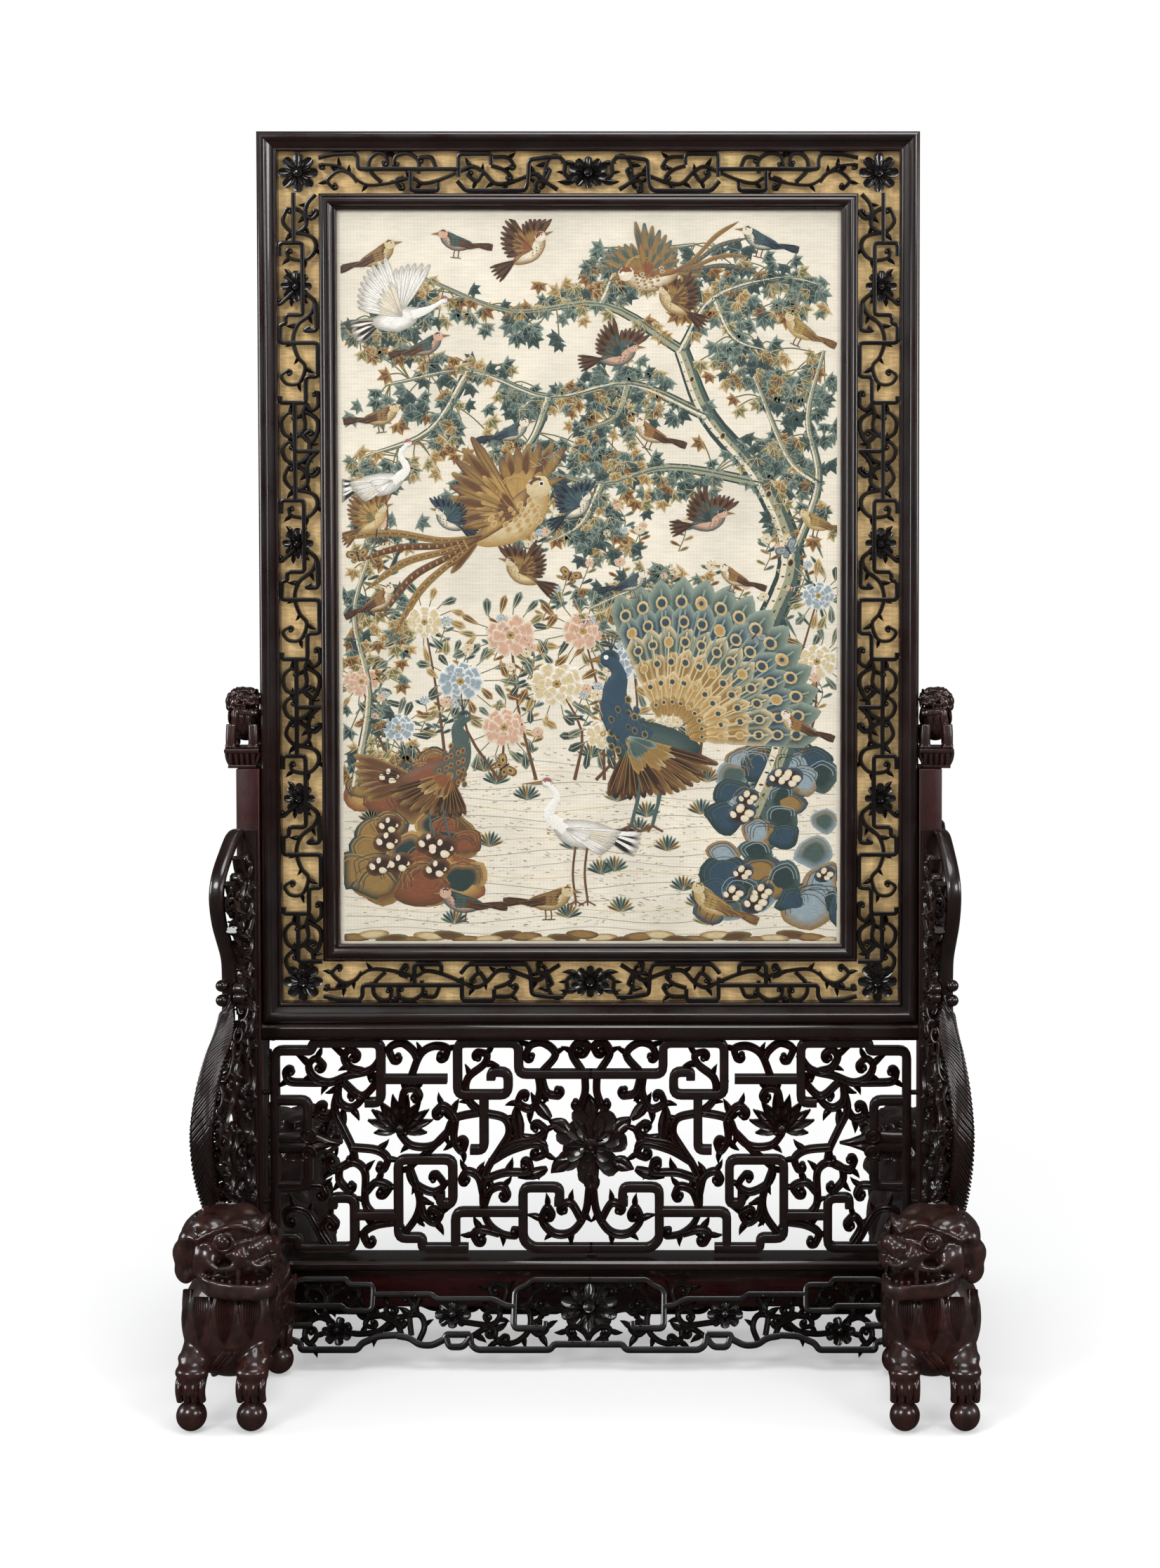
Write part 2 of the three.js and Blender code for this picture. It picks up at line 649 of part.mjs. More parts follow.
// A rail between the posts, moulded along its front and back edges, with a tenon at each end.
function rail({ bottom, top, depth }) {
  const half = depth / 2;
  const bead = (top - bottom) / 4;
  const section = [[-half + bead, bottom], [half - bead, bottom], [half, bottom + bead], [half, top - bead],
    [half - bead, top], [-half + bead, top], [-half, top - bead], [-half, bottom + bead]];
  const length = 2 * (postInner - gap);
  const shape = new THREE.Shape(section.map(([y, z]) => new THREE.Vector2(y, z)));
  const body = new THREE.ExtrudeGeometry(shape, { depth: length, bevelEnabled: false });
  body.translate(0, 0, -length / 2);
  body.applyMatrix4(new THREE.Matrix4().makeBasis(new THREE.Vector3(0, 1, 0), new THREE.Vector3(0, 0, 1),
    new THREE.Vector3(1, 0, 0)));
  const reach = postInner + tenonLength - gap;
  const tenonHalfDepth = half - 2 * tenonShoulder;
  const tenons = block(-reach, reach, -tenonHalfDepth, tenonHalfDepth, bottom + tenonShoulder, top - tenonShoulder);
  return solidOf(body).add(tenons);
}

place(standGroup, "upper_rail", rail(rails[0]), hongmu);

// The lower rail has a groove below for the skirt board, and stands between the lions of each foot.
const skirtTop = lowerRailBottom + skirtTongue;
const skirtGroove = block(-postInner, postInner, -skirtThickness / 2 - gap, skirtThickness / 2 + gap,
  lowerRailBottom - 1, skirtTop + gap);
place(standGroup, "lower_rail", rail(rails[1]).subtract(skirtGroove), hongmu);
place(standGroup, "skirt_board",
  block(gap - postInner, postInner - gap, -skirtThickness / 2, skirtThickness / 2, lowerRailBottom - skirtHeight,
    skirtTop), redHongmu);

// The pierced panel, stretched from its drawing to its opening, with the pegs that hold it.
const panelHeight = panelTop - panelBottom;
const panelScale = [
  panelHalfWidth / (reachOf(panelPattern, 0) + barWidth / 2),
  panelHeight / (reachOf(panelPattern, 1) + barWidth / 2),
  1,
];
const panelFlat = both(fretwork(panelPattern, panelThickness, panelSizes)).scale(panelScale);
const panelBounds = flatBlock(-panelHalfWidth, panelHalfWidth, 0, panelHeight, panelThickness);
const panelSolid = stand(panelFlat.intersect(panelBounds), -panelThickness / 2, panelThickness)
  .translate([0, 0, panelBottom]);
const panelHoles = pegHeights.map((v) => crossPeg(panelHalfWidth - pegDepth, panelHalfWidth + 1, pegRadius + gap,
  panelBottom + v));
place(standGroup, "pierced_panel",
  cut(panelSolid, ...panelHoles, ...panelHoles.map((hole) => hole.mirror([1, 0, 0]))), hongmu);
pegHeights.forEach((v, i) => {
  const made = crossPeg(panelHalfWidth - pegDepth + gap, postInner + pegDepth - gap, pegRadius, panelBottom + v);
  const level = ["lower", "upper"][i];
  place(standGroup, `panel_peg_${level}_right`, made, hongmu);
  place(standGroup, `panel_peg_${level}_left`, made.mirror([1, 0, 0]), hongmu);
});
place(standGroup, "panel_spacer",
  block(-spacerWidth / 2, spacerWidth / 2, -panelThickness / 2, panelThickness / 2, lowerRailTop + gap,
    panelBottom - gap), hongmu);

// The aprons slant out and down from under the lower rail, front and back, and end in the feet.
const lean = THREE.MathUtils.degToRad(apronSlant);
const apronSetBack = lowerRailDepth / 2 + apronStandOff;
function leaning(flat, thickness) {
  return stand(flat, -thickness / 2, thickness)
    .translate([0, 0, -apronHeight])
    .rotate([-apronSlant, 0, 0])
    .translate([0, -apronSetBack - (thickness / 2) * Math.cos(lean), apronTop - (thickness / 2) * Math.sin(lean)]);
}
const apronScale = [
  apronHalfWidth / (reachOf(apronPattern, 0) + apronBarWidth / 2),
  apronHeight / (reachOf(apronPattern, 1) + apronBarWidth / 2),
  1,
];
const apronFlat = both(fretwork(apronPattern, apronThickness, apronSizes)).scale(apronScale);
const apronBounds = flatBlock(-apronHalfWidth, apronHalfWidth, 0, apronHeight, apronThickness);
const apronFront = leaning(apronFlat.intersect(apronBounds), apronThickness);
place(standGroup, "apron_front", apronFront, ebonised);
place(standGroup, "apron_back", apronFront.mirror([0, 1, 0]), ebonised);

// A spandrel: an S-shaped rim, a strip against the post, and foliage carved between them.
function spandrel() {
  const rim = band(spandrelPattern.rim, spandrelThickness, rimWidth);
  const beads = beadHeights.map((v) => disc(beadReach, v, beadRadius, spandrelThickness, 8));
  const carving = fretwork({ ...spandrelPattern, blossoms: [] }, spandrelCarving, carvingSizes)
    .translate([0, 0, (spandrelThickness - spandrelCarving) / 2]);
  const drawn = join([rim, ...beads, carving]).translate([0, 0, -spandrelThickness / 2]);
  const flat = drawn.scale([1, spandrelHeight / reachOf(spandrelPattern, 1), 1]);
  const bounds = block(0, spandrelReach, 0, spandrelHeight, -spandrelThickness, spandrelThickness);
  return flat.intersect(bounds)
    .rotate([90, 0, 0])
    .rotate([0, 0, -90 + spandrelSplay])
    .translate([postCentre, -postDepth / 2 - gap, footDeck + gap]);
}

const postFace = block(postInner - postWidth, postOuter + postWidth, -postDepth / 2 - gap, 0, 0, postTop);
const spandrelFrontRight = spandrel().subtract(postFace);
const spandrelBackRight = spandrelFrontRight.mirror([0, 1, 0]);
place(standGroup, "spandrel_front_right", spandrelFrontRight, hongmu);
place(standGroup, "spandrel_front_left", spandrelFrontRight.mirror([1, 0, 0]), hongmu);
place(standGroup, "spandrel_back_right", spandrelBackRight, hongmu);
place(standGroup, "spandrel_back_left", spandrelBackRight.mirror([1, 0, 0]), hongmu);

const fromFoot = ([x, y, z]) => [footCentre + x, y, z];

// The head of the front right lion, drawn facing the front and then turned inwards.
function lionHead() {
  const parts = [
    ellipsoid(skull.middle, skull.half, 8, 5),
    ellipsoid(muzzle.middle, muzzle.half, 6, 4),
    ellipsoid(jaw.middle, jaw.half, 6, 4),
  ];
  for (const form of [brow, ear]) {
    const made = ellipsoid(form.middle, form.half, 4, 3);
    parts.push(made, made.mirror([1, 0, 0]));
  }
  const opening = block(-skull.half[0], skull.half[0], mouth.front, mouth.back, mouth.low, mouth.high);
  return cut(join(parts), opening).rotate([0, 0, -headTurn]).translate(fromFoot(headMiddle));
}

// The front right lion's body: barrel chest, beard, rump and legs.
function lion() {
  const parts = [
    lionHead(),
    ellipsoid(fromFoot(chest.middle), chest.half, 8, 5),
    ellipsoid(fromFoot(rump.middle), rump.half, 8, 5),
  ];
  for (const [offset, reach] of tufts) {
    const tuft = plate([[-tuftHalf, 0], [tuftHalf, 0], [0, -reach]], tuftThickness);
    parts.push(stand(tuft, -beardFront, tuftThickness).translate([footCentre + offset, 0, footDeck]));
  }
  for (const side of [-1, 1]) {
    const x = footCentre + side * ballSpread;
    parts.push(peg(x, tuftThickness / 2 - foreBall, legRadius, ballRadius, foreLegTop, 6));
    parts.push(peg(x, -hindBall, legRadius, ballRadius, hindLegTop, 6));
  }
  return join(parts);
}

// What is cut from a foot for the post, rail and skirt board, the spandrels and the aprons.
function footHousings() {
  const reach = footCentre + 3 * footHalfWidth;
  const halfPost = postDepth / 2 + gap;
  const well = block(postInner - 1, postOuter + gap, -halfPost, halfPost, postFoot - gap, postTop);
  const railWay = block(0, postInner, -halfPost, halfPost, lowerRailBottom - skirtHeight - gap, postTop);
  const deck = block(0, reach, -deckReach, deckReach, footDeck, postTop);
  const apronSlot = leaning(flatBlock(0, apronHalfWidth + gap, -2, apronHeight + 20, apronThickness + 2 * gap),
    apronThickness + 2 * gap);
  return [well, railWay, deck, apronSlot, apronSlot.mirror([0, 1, 0])];
}

function foot() {
  const front = lion();
  const core = block(footCentre - footHalfWidth, footCentre + footHalfWidth, -hindBall - ballRadius,
    hindBall + ballRadius, footFloor, footDeck);
  const whole = join([front, front.mirror([0, 1, 0]), core]);
  const dowelHoles = ballPlaces.map(([x, y]) => peg(x, y, ballDowelRadius + gap, ballRadius,
    ballShoulder + ballDowelLength + gap, ballSides));
  const reach = footCentre + 3 * footHalfWidth;
  const below = block(0, reach, -reach, reach, -ballRadius, ballShoulder + gap);
  return cut(whole, ...footHousings(), ...dowelHoles, below);
}

const ballPlaces = [];
for (const side of [-1, 1]) {
  for (const reach of [foreBall, hindBall]) {
    for (const end of [-1, 1]) ballPlaces.push([footCentre + side * ballSpread, end * reach]);
  }
}

const rightFoot = foot();
place(standGroup, "lion_foot_right", rightFoot, hongmu);
place(standGroup, "lion_foot_left", rightFoot.mirror([1, 0, 0]), hongmu);

// The turned balls, each with a dowel into a paw and a small flat where it meets the floor.
function ball(x, y) {
  const profile = [new THREE.Vector2(0, 0)];
  const start = Math.acos(1 - ballFlat / ballRadius);
  const end = Math.PI - shoulderAngle;
  for (let i = 0; i <= ballRings; i++) {
    const angle = THREE.MathUtils.lerp(start, end, i / ballRings);
    profile.push(new THREE.Vector2(ballRadius * Math.sin(angle), ballRadius * (1 - Math.cos(angle)) - ballFlat));
  }
  const top = ballShoulder + ballDowelLength;
  profile.push(new THREE.Vector2(ballDowelRadius, top), new THREE.Vector2(0, top));
  const turned = new THREE.LatheGeometry(profile, ballSides);
  turned.rotateX(Math.PI / 2);
  turned.translate(x, y, 0);
  return solidOf(turned);
}

for (const [x, y] of ballPlaces) {
  const reachName = Math.abs(y) === foreBall ? "fore" : "hind";
  const endName = y < 0 ? "front" : "back";
  const placeName = x < footCentre ? "inner" : "outer";
  const made = ball(x, y);
  place(standGroup, `ball_${endName}_${reachName}_${placeName}_right`, made, hongmu);
  place(standGroup, `ball_${endName}_${reachName}_${placeName}_left`, made.mirror([1, 0, 0]), hongmu);
}

// A finial: a tapered lotus base with a seated lion that looks inwards over it.
function finial() {
  const base = postTop + gap;
  const middle = postInner + finialWidth / 2;
  const narrow = finialBaseHeight / 3;
  const low = block(postInner + 4, postInner + finialWidth - 4, 4 - finialDepth / 2, finialDepth / 2 - 4, base,
    base + narrow);
  const lotus = block(postInner, postInner + finialWidth, -finialDepth / 2, finialDepth / 2, base + narrow,
    base + finialBaseHeight);
  const parts = [low, lotus];
  const plinth = base + finialBaseHeight;
  for (const side of [-1, 1]) {
    for (const end of [-1, 1]) {
      const x = middle + side * 17;
      parts.push(block(x - 8, x + 8, end * 17 - 8, end * 17 + 8, plinth - 1, plinth + 34));
    }
  }
  parts.push(ellipsoid([middle, 0, plinth + 42], [27, 28, 23], 6, 5));
  const head = [
    ellipsoid([0, 2, 0], [24, 23, 20], 6, 5),
    ellipsoid([0, -15, -4], [16, 15, 10], 5, 3),
    ellipsoid([-21, 4, -5], [6, 10, 14], 5, 3),
    ellipsoid([21, 4, -5], [6, 10, 14], 5, 3),
  ];
  parts.push(join(head).rotate([0, 0, -headTurn]).translate([middle, -4, postTop + finialHeight - 20]));
  parts.push(peg(postCentre, 0, finialDowelRadius, base - finialDowelLength + 1, base + 2, 6));
  const clear = block(postInner - 100, postInner, -100, 100, postTop - 100, postTop + 2 * finialHeight);
  return join(parts).subtract(clear);
}

const rightFinial = finial();
place(standGroup, "finial_lion_right", rightFinial, hongmu);
place(standGroup, "finial_lion_left", rightFinial.mirror([1, 0, 0]), hongmu);

export default root;
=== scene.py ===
"""A carved hardwood floor screen: an embroidered silk panel in a fretwork border, on a pierced stand."""

import math
import random

import bmesh
import bpy
import numpy as np
from mathutils import Matrix, Vector


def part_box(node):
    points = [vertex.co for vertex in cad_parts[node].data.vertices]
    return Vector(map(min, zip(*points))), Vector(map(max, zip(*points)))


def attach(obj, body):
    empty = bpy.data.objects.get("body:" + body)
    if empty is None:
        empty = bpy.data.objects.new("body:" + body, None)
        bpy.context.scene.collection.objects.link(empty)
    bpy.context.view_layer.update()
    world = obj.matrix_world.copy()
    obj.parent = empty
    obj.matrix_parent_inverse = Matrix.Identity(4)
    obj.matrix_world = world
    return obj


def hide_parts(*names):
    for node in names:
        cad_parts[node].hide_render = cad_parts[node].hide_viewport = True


bl_info = {
    "name": "Pierced hardwood screen",
    "version": (1, 0, 0),
    "blender": (4, 5, 0),
    "location": "3D View > Sidebar > Screen",
    "description": "Carved frames, fretwork, embroidery and lion feet of a Chinese floor screen",
    "category": "Object",
}

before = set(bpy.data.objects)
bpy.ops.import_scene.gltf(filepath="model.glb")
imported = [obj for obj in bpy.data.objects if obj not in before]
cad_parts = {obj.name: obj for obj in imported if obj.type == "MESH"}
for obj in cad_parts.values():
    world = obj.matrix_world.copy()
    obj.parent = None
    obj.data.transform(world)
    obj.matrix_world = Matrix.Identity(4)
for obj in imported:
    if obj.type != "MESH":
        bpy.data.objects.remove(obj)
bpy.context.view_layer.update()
MM = 0.001


# Settings that a user would change.


def colour_setting(name, description, default):
    """A colour, as sRGB, that a user can pick."""
    return bpy.props.FloatVectorProperty(name=name, description=description + ", as sRGB", subtype="COLOR_GAMMA",
                                         size=3, min=0, max=1, default=default)


class WoodSettings(bpy.types.PropertyGroup):
    """Colours and polish of the hardwood."""

    dark: colour_setting("Dark wood", "Colour of the stand's dark hardwood", (0.100, 0.034, 0.025))
    warm: colour_setting("Carved wood", "Colour of the carved lions and turned balls, paler where they are rubbed",
                         (0.160, 0.070, 0.050))
    red: colour_setting("Red wood", "Colour of the redder posts and boards", (0.170, 0.036, 0.030))
    black: colour_setting("Fretwork wood", "Colour of the nearly black fretwork", (0.060, 0.038, 0.034))
    polish: bpy.props.FloatProperty(
        name="Polish", description="From 0, dull, to 1, freshly waxed", subtype="FACTOR",
        min=0, max=1, default=0.62)


class SilkSettings(bpy.types.PropertyGroup):
    """Colours and relief of the silks."""

    ivory: colour_setting("Silk", "Colour of the satin ground", (0.825, 0.792, 0.722))
    gold: colour_setting("Lining", "Colour of the silk behind the fretwork", (1.0, 0.825, 0.570))
    relief: bpy.props.FloatProperty(
        name="Stitch relief", description="How far the stitches stand above the silk",
        subtype="DISTANCE", unit="LENGTH", min=0.0002, max=0.0012, default=0.0007)


class CarvingSettings(bpy.types.PropertyGroup):
    """Sizes of the carving."""

    edge: bpy.props.FloatProperty(
        name="Worn edge", description="Rounding of the sawn edges", subtype="DISTANCE",
        unit="LENGTH", min=0.0003, max=0.003, default=0.0014)
    carving_size: bpy.props.FloatProperty(
        name="Carving detail", description="Size of the smallest form left in the lions' bodies",
        subtype="DISTANCE", unit="LENGTH", min=0.0015, max=0.006, default=0.0033)


# Colours and materials.


def linear(colour):
    """An sRGB hex text or triple as the linear colour that shader sockets take."""
    if isinstance(colour, str):
        colour = [int(colour[i:i + 2], 16) / 255 for i in (1, 3, 5)]
    parts = [c / 12.92 if c <= 0.04045 else ((c + 0.055) / 1.055) ** 2.4 for c in colour]
    return (*parts, 1.0)


def shade(colour, factor):
    """An sRGB triple made darker or lighter."""
    return tuple(min(1.0, c * factor) for c in colour)


def add_node(tree, kind, links=None, **settings):
    """Adds a node, sets its values and its inputs, and joins the sockets named in links."""
    node = tree.nodes.new(kind)
    for name, value in settings.items():
        if name in node.inputs:
            node.inputs[name].default_value = value
        elif name.replace("_", " ") in node.inputs:
            node.inputs[name.replace("_", " ")].default_value = value
        else:
            setattr(node, name, value)
    for name, source in (links or {}).items():
        tree.links.new(source, node.inputs[name])
    return node


def ramp(tree, source, stops):
    """A colour ramp with the given (place, sRGB colour) stops."""
    node = add_node(tree, "ShaderNodeValToRGB", {"Fac": source})
    elements = node.color_ramp.elements
    while len(elements) < len(stops):
        elements.new(0.5)
    for element, (place, colour) in zip(elements, stops):
        element.position = place
        element.color = linear(colour)
    return node


def new_material(name):
    """An empty material and its node tree."""
    material = bpy.data.materials.new(name)
    material.use_nodes = True
    material.node_tree.nodes.clear()
    return material, material.node_tree


def output(tree, shader):
    """Ends the tree in its surface output."""
    add_node(tree, "ShaderNodeOutputMaterial", {"Surface": shader})


def mixed(tree, factor, first, second, blend="MIX"):
    """Mixes two colours. factor and the colours are sockets or values."""
    node = add_node(tree, "ShaderNodeMix", data_type="RGBA", blend_type=blend)
    for index, value in ((0, factor), (6, first), (7, second)):
        if isinstance(value, bpy.types.NodeSocket):
            tree.links.new(value, node.inputs[index])
        else:
            node.inputs[index].default_value = value
    return node.outputs[2]


def span(tree, source, low, high, to_low, to_high):
    """Maps low..high of a value to to_low..to_high."""
    node = add_node(tree, "ShaderNodeMapRange", {"Value": source})
    for name, value in (("From Min", low), ("From Max", high), ("To Min", to_low), ("To Max", to_high)):
        node.inputs[name].default_value = value
    return node.outputs[0]


def polished_wood(name, colour, grain, rough, wax):
    """Waxed hongmu: close dark grain along the piece, open pores as short dark dashes, and a hand-rubbed
    polish that is uneven from place to place. grain is the axis that the grain follows."""
    material, tree = new_material(name)
    place = add_node(tree, "ShaderNodeTexCoord").outputs["Object"]
    along = [0.06 if axis == grain else 1.0 for axis in "XYZ"]
    figure_map = add_node(tree, "ShaderNodeMapping", {"Vector": place}, Scale=along)
    figure = add_node(tree, "ShaderNodeTexNoise", {"Vector": figure_map.outputs[0]},
                      Scale=55.0, Detail=6.0, Roughness=0.6, Distortion=0.9)
    pores = add_node(tree, "ShaderNodeTexNoise", {"Vector": figure_map.outputs[0]},
                     Scale=900.0, Detail=3.0, Roughness=0.7)
    rubbed = add_node(tree, "ShaderNodeTexNoise", {"Vector": place}, Scale=14.0, Detail=4.0, Roughness=0.55)
    colours = ramp(tree, figure.outputs["Fac"], [
        (0.28, shade(colour, 0.55)), (0.48, colour), (0.62, shade(colour, 1.25)), (0.80, shade(colour, 1.75))])
    dashes = ramp(tree, pores.outputs["Fac"], [(0.36, (0.35, 0.35, 0.35)), (0.47, (1, 1, 1))])
    surface = mixed(tree, 0.75, colours.outputs[0], dashes.outputs[0], "MULTIPLY")
    bump = add_node(tree, "ShaderNodeBump", {"Height": pores.outputs["Fac"]}, Strength=0.22, Distance=0.0004)
    soft = add_node(tree, "ShaderNodeBump", {"Height": rubbed.outputs["Fac"], "Normal": bump.outputs[0]},
                    Strength=0.12, Distance=0.0012)
    shader = add_node(tree, "ShaderNodeBsdfPrincipled",
                      {"Base Color": surface, "Normal": soft.outputs[0],
                       "Roughness": span(tree, rubbed.outputs["Fac"], 0.3, 0.7, rough * 0.75, rough * 1.5)},
                      IOR=1.5, Coat_Weight=wax, Coat_Roughness=0.07)
    output(tree, shader.outputs[0])
    return material


def silk_weave(name, colour, thread_mm, rough, slubs):
    """Plain or satin silk: two sets of fine threads at right angles, slightly uneven, with a soft sheen, and painted
    shade that darkens the colour a little between the threads. The real threads are finer than the render shows, so
    they are drawn as coarse as thread_mm."""
    material, tree = new_material(name)
    place = add_node(tree, "ShaderNodeTexCoord").outputs["Object"]
    bands = 1 / (thread_mm * MM * 2 * math.pi) / 3.2
    warp, weft = (add_node(tree, "ShaderNodeTexWave", {"Vector": place}, bands_direction=way,
                           Scale=bands, Distortion=0.6, Detail=2.0) for way in "XZ")
    uneven_map = add_node(tree, "ShaderNodeMapping", {"Vector": place}, Scale=[0.12, 1, 1])
    uneven = add_node(tree, "ShaderNodeTexNoise", {"Vector": uneven_map.outputs[0]},
                      Scale=420.0, Detail=4.0, Roughness=0.6)
    cloudy = add_node(tree, "ShaderNodeTexNoise", {"Vector": place}, Scale=7.0, Detail=5.0, Roughness=0.6)
    weave = mixed(tree, 0.5, warp.outputs["Color"], weft.outputs["Color"])
    ground = ramp(tree, cloudy.outputs["Fac"], [(0.3, shade(colour, 0.93)), (0.7, shade(colour, 1.04))])
    slub = ramp(tree, uneven.outputs["Fac"], [(0.32, shade((1, 1, 1), 1 - slubs)), (0.6, (1, 1, 1))])
    # Painted shade: the colour is darkened a little between the threads of the weave.
    threads = ramp(tree, weave, [(0.2, (0.965, 0.965, 0.965)), (0.8, (1, 1, 1))])
    surface = mixed(tree, 1.0, mixed(tree, 1.0, ground.outputs[0], slub.outputs[0], "MULTIPLY"),
                    threads.outputs[0], "MULTIPLY")
    bump = add_node(tree, "ShaderNodeBump", {"Height": weave}, Strength=0.2, Distance=0.0001)
    shader = add_node(tree, "ShaderNodeBsdfPrincipled", {"Base Color": surface, "Normal": bump.outputs[0]},
                      Roughness=rough, Sheen_Weight=0.3, Sheen_Roughness=0.4)
    output(tree, shader.outputs[0])
    return material


def satin_stitch(name):
    """Floss silk laid in parallel stitches: each piece has its own colour, kept with the mesh, and fine glossy
    threads that run across it along its own UV map, with painted shade that darkens the colour between the stitches."""
    material, tree = new_material(name)
    across = add_node(tree, "ShaderNodeUVMap").outputs[0]
    tint = add_node(tree, "ShaderNodeVertexColor", layer_name="tint")
    threads = add_node(tree, "ShaderNodeTexWave", {"Vector": across}, bands_direction="X", Scale=1.0,
                       Distortion=0.5, Detail=2.0)
    uneven = add_node(tree, "ShaderNodeTexNoise", {"Vector": across}, Scale=2.4, Detail=3.0)
    # Painted shade: the colour is darkened in the grooves between the stitches.
    stitch_shade = ramp(tree, threads.outputs["Fac"], [(0.0, (0.72, 0.72, 0.72)), (0.6, (1, 1, 1))])
    tone = ramp(tree, uneven.outputs["Fac"], [(0.3, (0.86, 0.86, 0.86)), (0.7, (1.0, 1.0, 1.0))])
    surface = mixed(tree, 1.0, mixed(tree, 1.0, tint.outputs["Color"], stitch_shade.outputs[0], "MULTIPLY"),
                    tone.outputs[0], "MULTIPLY")
    bump = add_node(tree, "ShaderNodeBump", {"Height": threads.outputs["Fac"]}, Strength=0.4, Distance=0.0002)
    shader = add_node(tree, "ShaderNodeBsdfPrincipled", {"Base Color": surface, "Normal": bump.outputs[0]},
                      Roughness=0.42, Sheen_Weight=0.25)
    output(tree, shader.outputs[0])
    return material


def studio_paper(name, colour):
    """The white paper sweep of the studio floor, burnt out to white away from the object. Polished wood mirrors it
    darker, as it mirrors the unlit part of a real studio."""
    material, tree = new_material(name)
    path = add_node(tree, "ShaderNodeLightPath")
    paper = add_node(tree, "ShaderNodeBsdfDiffuse", Color=linear(colour))
    dim = add_node(tree, "ShaderNodeBsdfDiffuse", Color=linear("#403e3c"))
    both = add_node(tree, "ShaderNodeMixShader", {0: path.outputs["Is Glossy Ray"], 1: paper.outputs[0],
                                                 2: dim.outputs[0]})
    place = add_node(tree, "ShaderNodeTexCoord").outputs["Object"]
    reach = add_node(tree, "ShaderNodeVectorMath", {0: place}, operation="LENGTH").outputs["Value"]
    burnt = add_node(tree, "ShaderNodeEmission", Color=(1, 1, 1, 1), Strength=1.0)
    seen = add_node(tree, "ShaderNodeMath", {0: span(tree, reach, 0.75, 1.5, 0.35, 1.0),
                                             1: path.outputs["Is Camera Ray"]}, operation="MULTIPLY")
    lit = add_node(tree, "ShaderNodeMixShader", {0: seen.outputs[0], 1: both.outputs[0], 2: burnt.outputs[0]})
    output(tree, lit.outputs[0])
    return material


# Each wood: its name, its colour's setting, the axis of its grain, its share of the roughness, and its wax.
WOODS = {
    "dark_x": ("dark_hongmu_along_x", "dark", "X", 1.0, 0.75),
    "dark_z": ("dark_hongmu_upright", "dark", "Z", 1.0, 0.75),
    "warm_y": ("rubbed_hongmu_along_y", "warm", "Y", 1.0, 0.75),
    "warm_z": ("rubbed_hongmu_upright", "warm", "Z", 1.0, 0.75),
    "red_x": ("red_hongmu_along_x", "red", "X", 1.1, 0.3),
    "red_z": ("red_hongmu_upright", "red", "Z", 1.1, 0.3),
    "black": ("ebonised_fretwork", "black", "X", 0.9, 0.75),
}
# Each silk: its name, its colour's setting, the width of a thread in millimetres, its roughness, and its slubs.
SILKS = {
    "gold_silk": ("golden_tabby_silk", "gold", 1.1, 0.7, 0.16),
    "ivory_silk": ("ivory_silk_satin", "ivory", 0.8, 0.5, 0.05),
}
MATERIALS = {}


def new_finish(key):
    """Makes the finish named key."""
    if key in WOODS:
        name, colour, grain, share, wax = WOODS[key]
        settings = bpy.context.scene.screen_wood
        rough = 0.62 - 0.5 * settings.polish
        return polished_wood(name, tuple(getattr(settings, colour)), grain, rough * share, wax)
    if key in SILKS:
        name, colour, *weave = SILKS[key]
        return silk_weave(name, tuple(getattr(bpy.context.scene.screen_silk, colour)), *weave)
    if key == "stitches":
        return satin_stitch("floss_silk_satin_stitch")
    return studio_paper("white_studio_paper", "#f6f6f5")


def material_of(key):
    """The finish named key, made once."""
    if key not in MATERIALS:
        MATERIALS[key] = new_finish(key)
    return MATERIALS[key]


# Making pieces.


def clear_selection():
    """Leaves edit mode and deselects everything."""
    if bpy.context.object and bpy.context.object.mode != "OBJECT":
        bpy.ops.object.mode_set(mode="OBJECT")
    bpy.ops.object.select_all(action="DESELECT")


def pick(piece):
    """Makes piece the only selected and active object."""
    clear_selection()
    piece.select_set(True)
    bpy.context.view_layer.objects.active = piece


def settle(piece):
    """Puts a piece's place, turn and scale into its mesh."""
    pick(piece)
    bpy.ops.object.transform_apply(location=True, rotation=True, scale=True)


def done(piece, name, finish, body, nodes=(), smooth=40):
    """Names a finished piece, gives it its finish, and says what it rides on and what it stands for."""
    settle(piece)
    piece.name = name
    piece.data.name = name
    piece.data.materials.clear()
    piece.data.materials.append(material_of(finish))
    bpy.ops.object.shade_smooth_by_angle(angle=math.radians(smooth))
    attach(piece, body)
    if nodes:
        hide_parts(*nodes)
    return piece


def use_modifier(piece, kind, **settings):
    """Adds a modifier and applies it."""
    pick(piece)
    modifier = piece.modifiers.new(kind.title(), kind)
    for name, value in settings.items():
        setattr(modifier, name, value)
    bpy.ops.object.modifier_apply(modifier=modifier.name)


def turned_outwards(piece):
    """Recalculates the normals of a piece made of closed shells."""
    shells = bmesh.new()
    shells.from_mesh(piece.data)
    bmesh.ops.recalc_face_normals(shells, faces=shells.faces)
    shells.to_mesh(piece.data)
    shells.free()


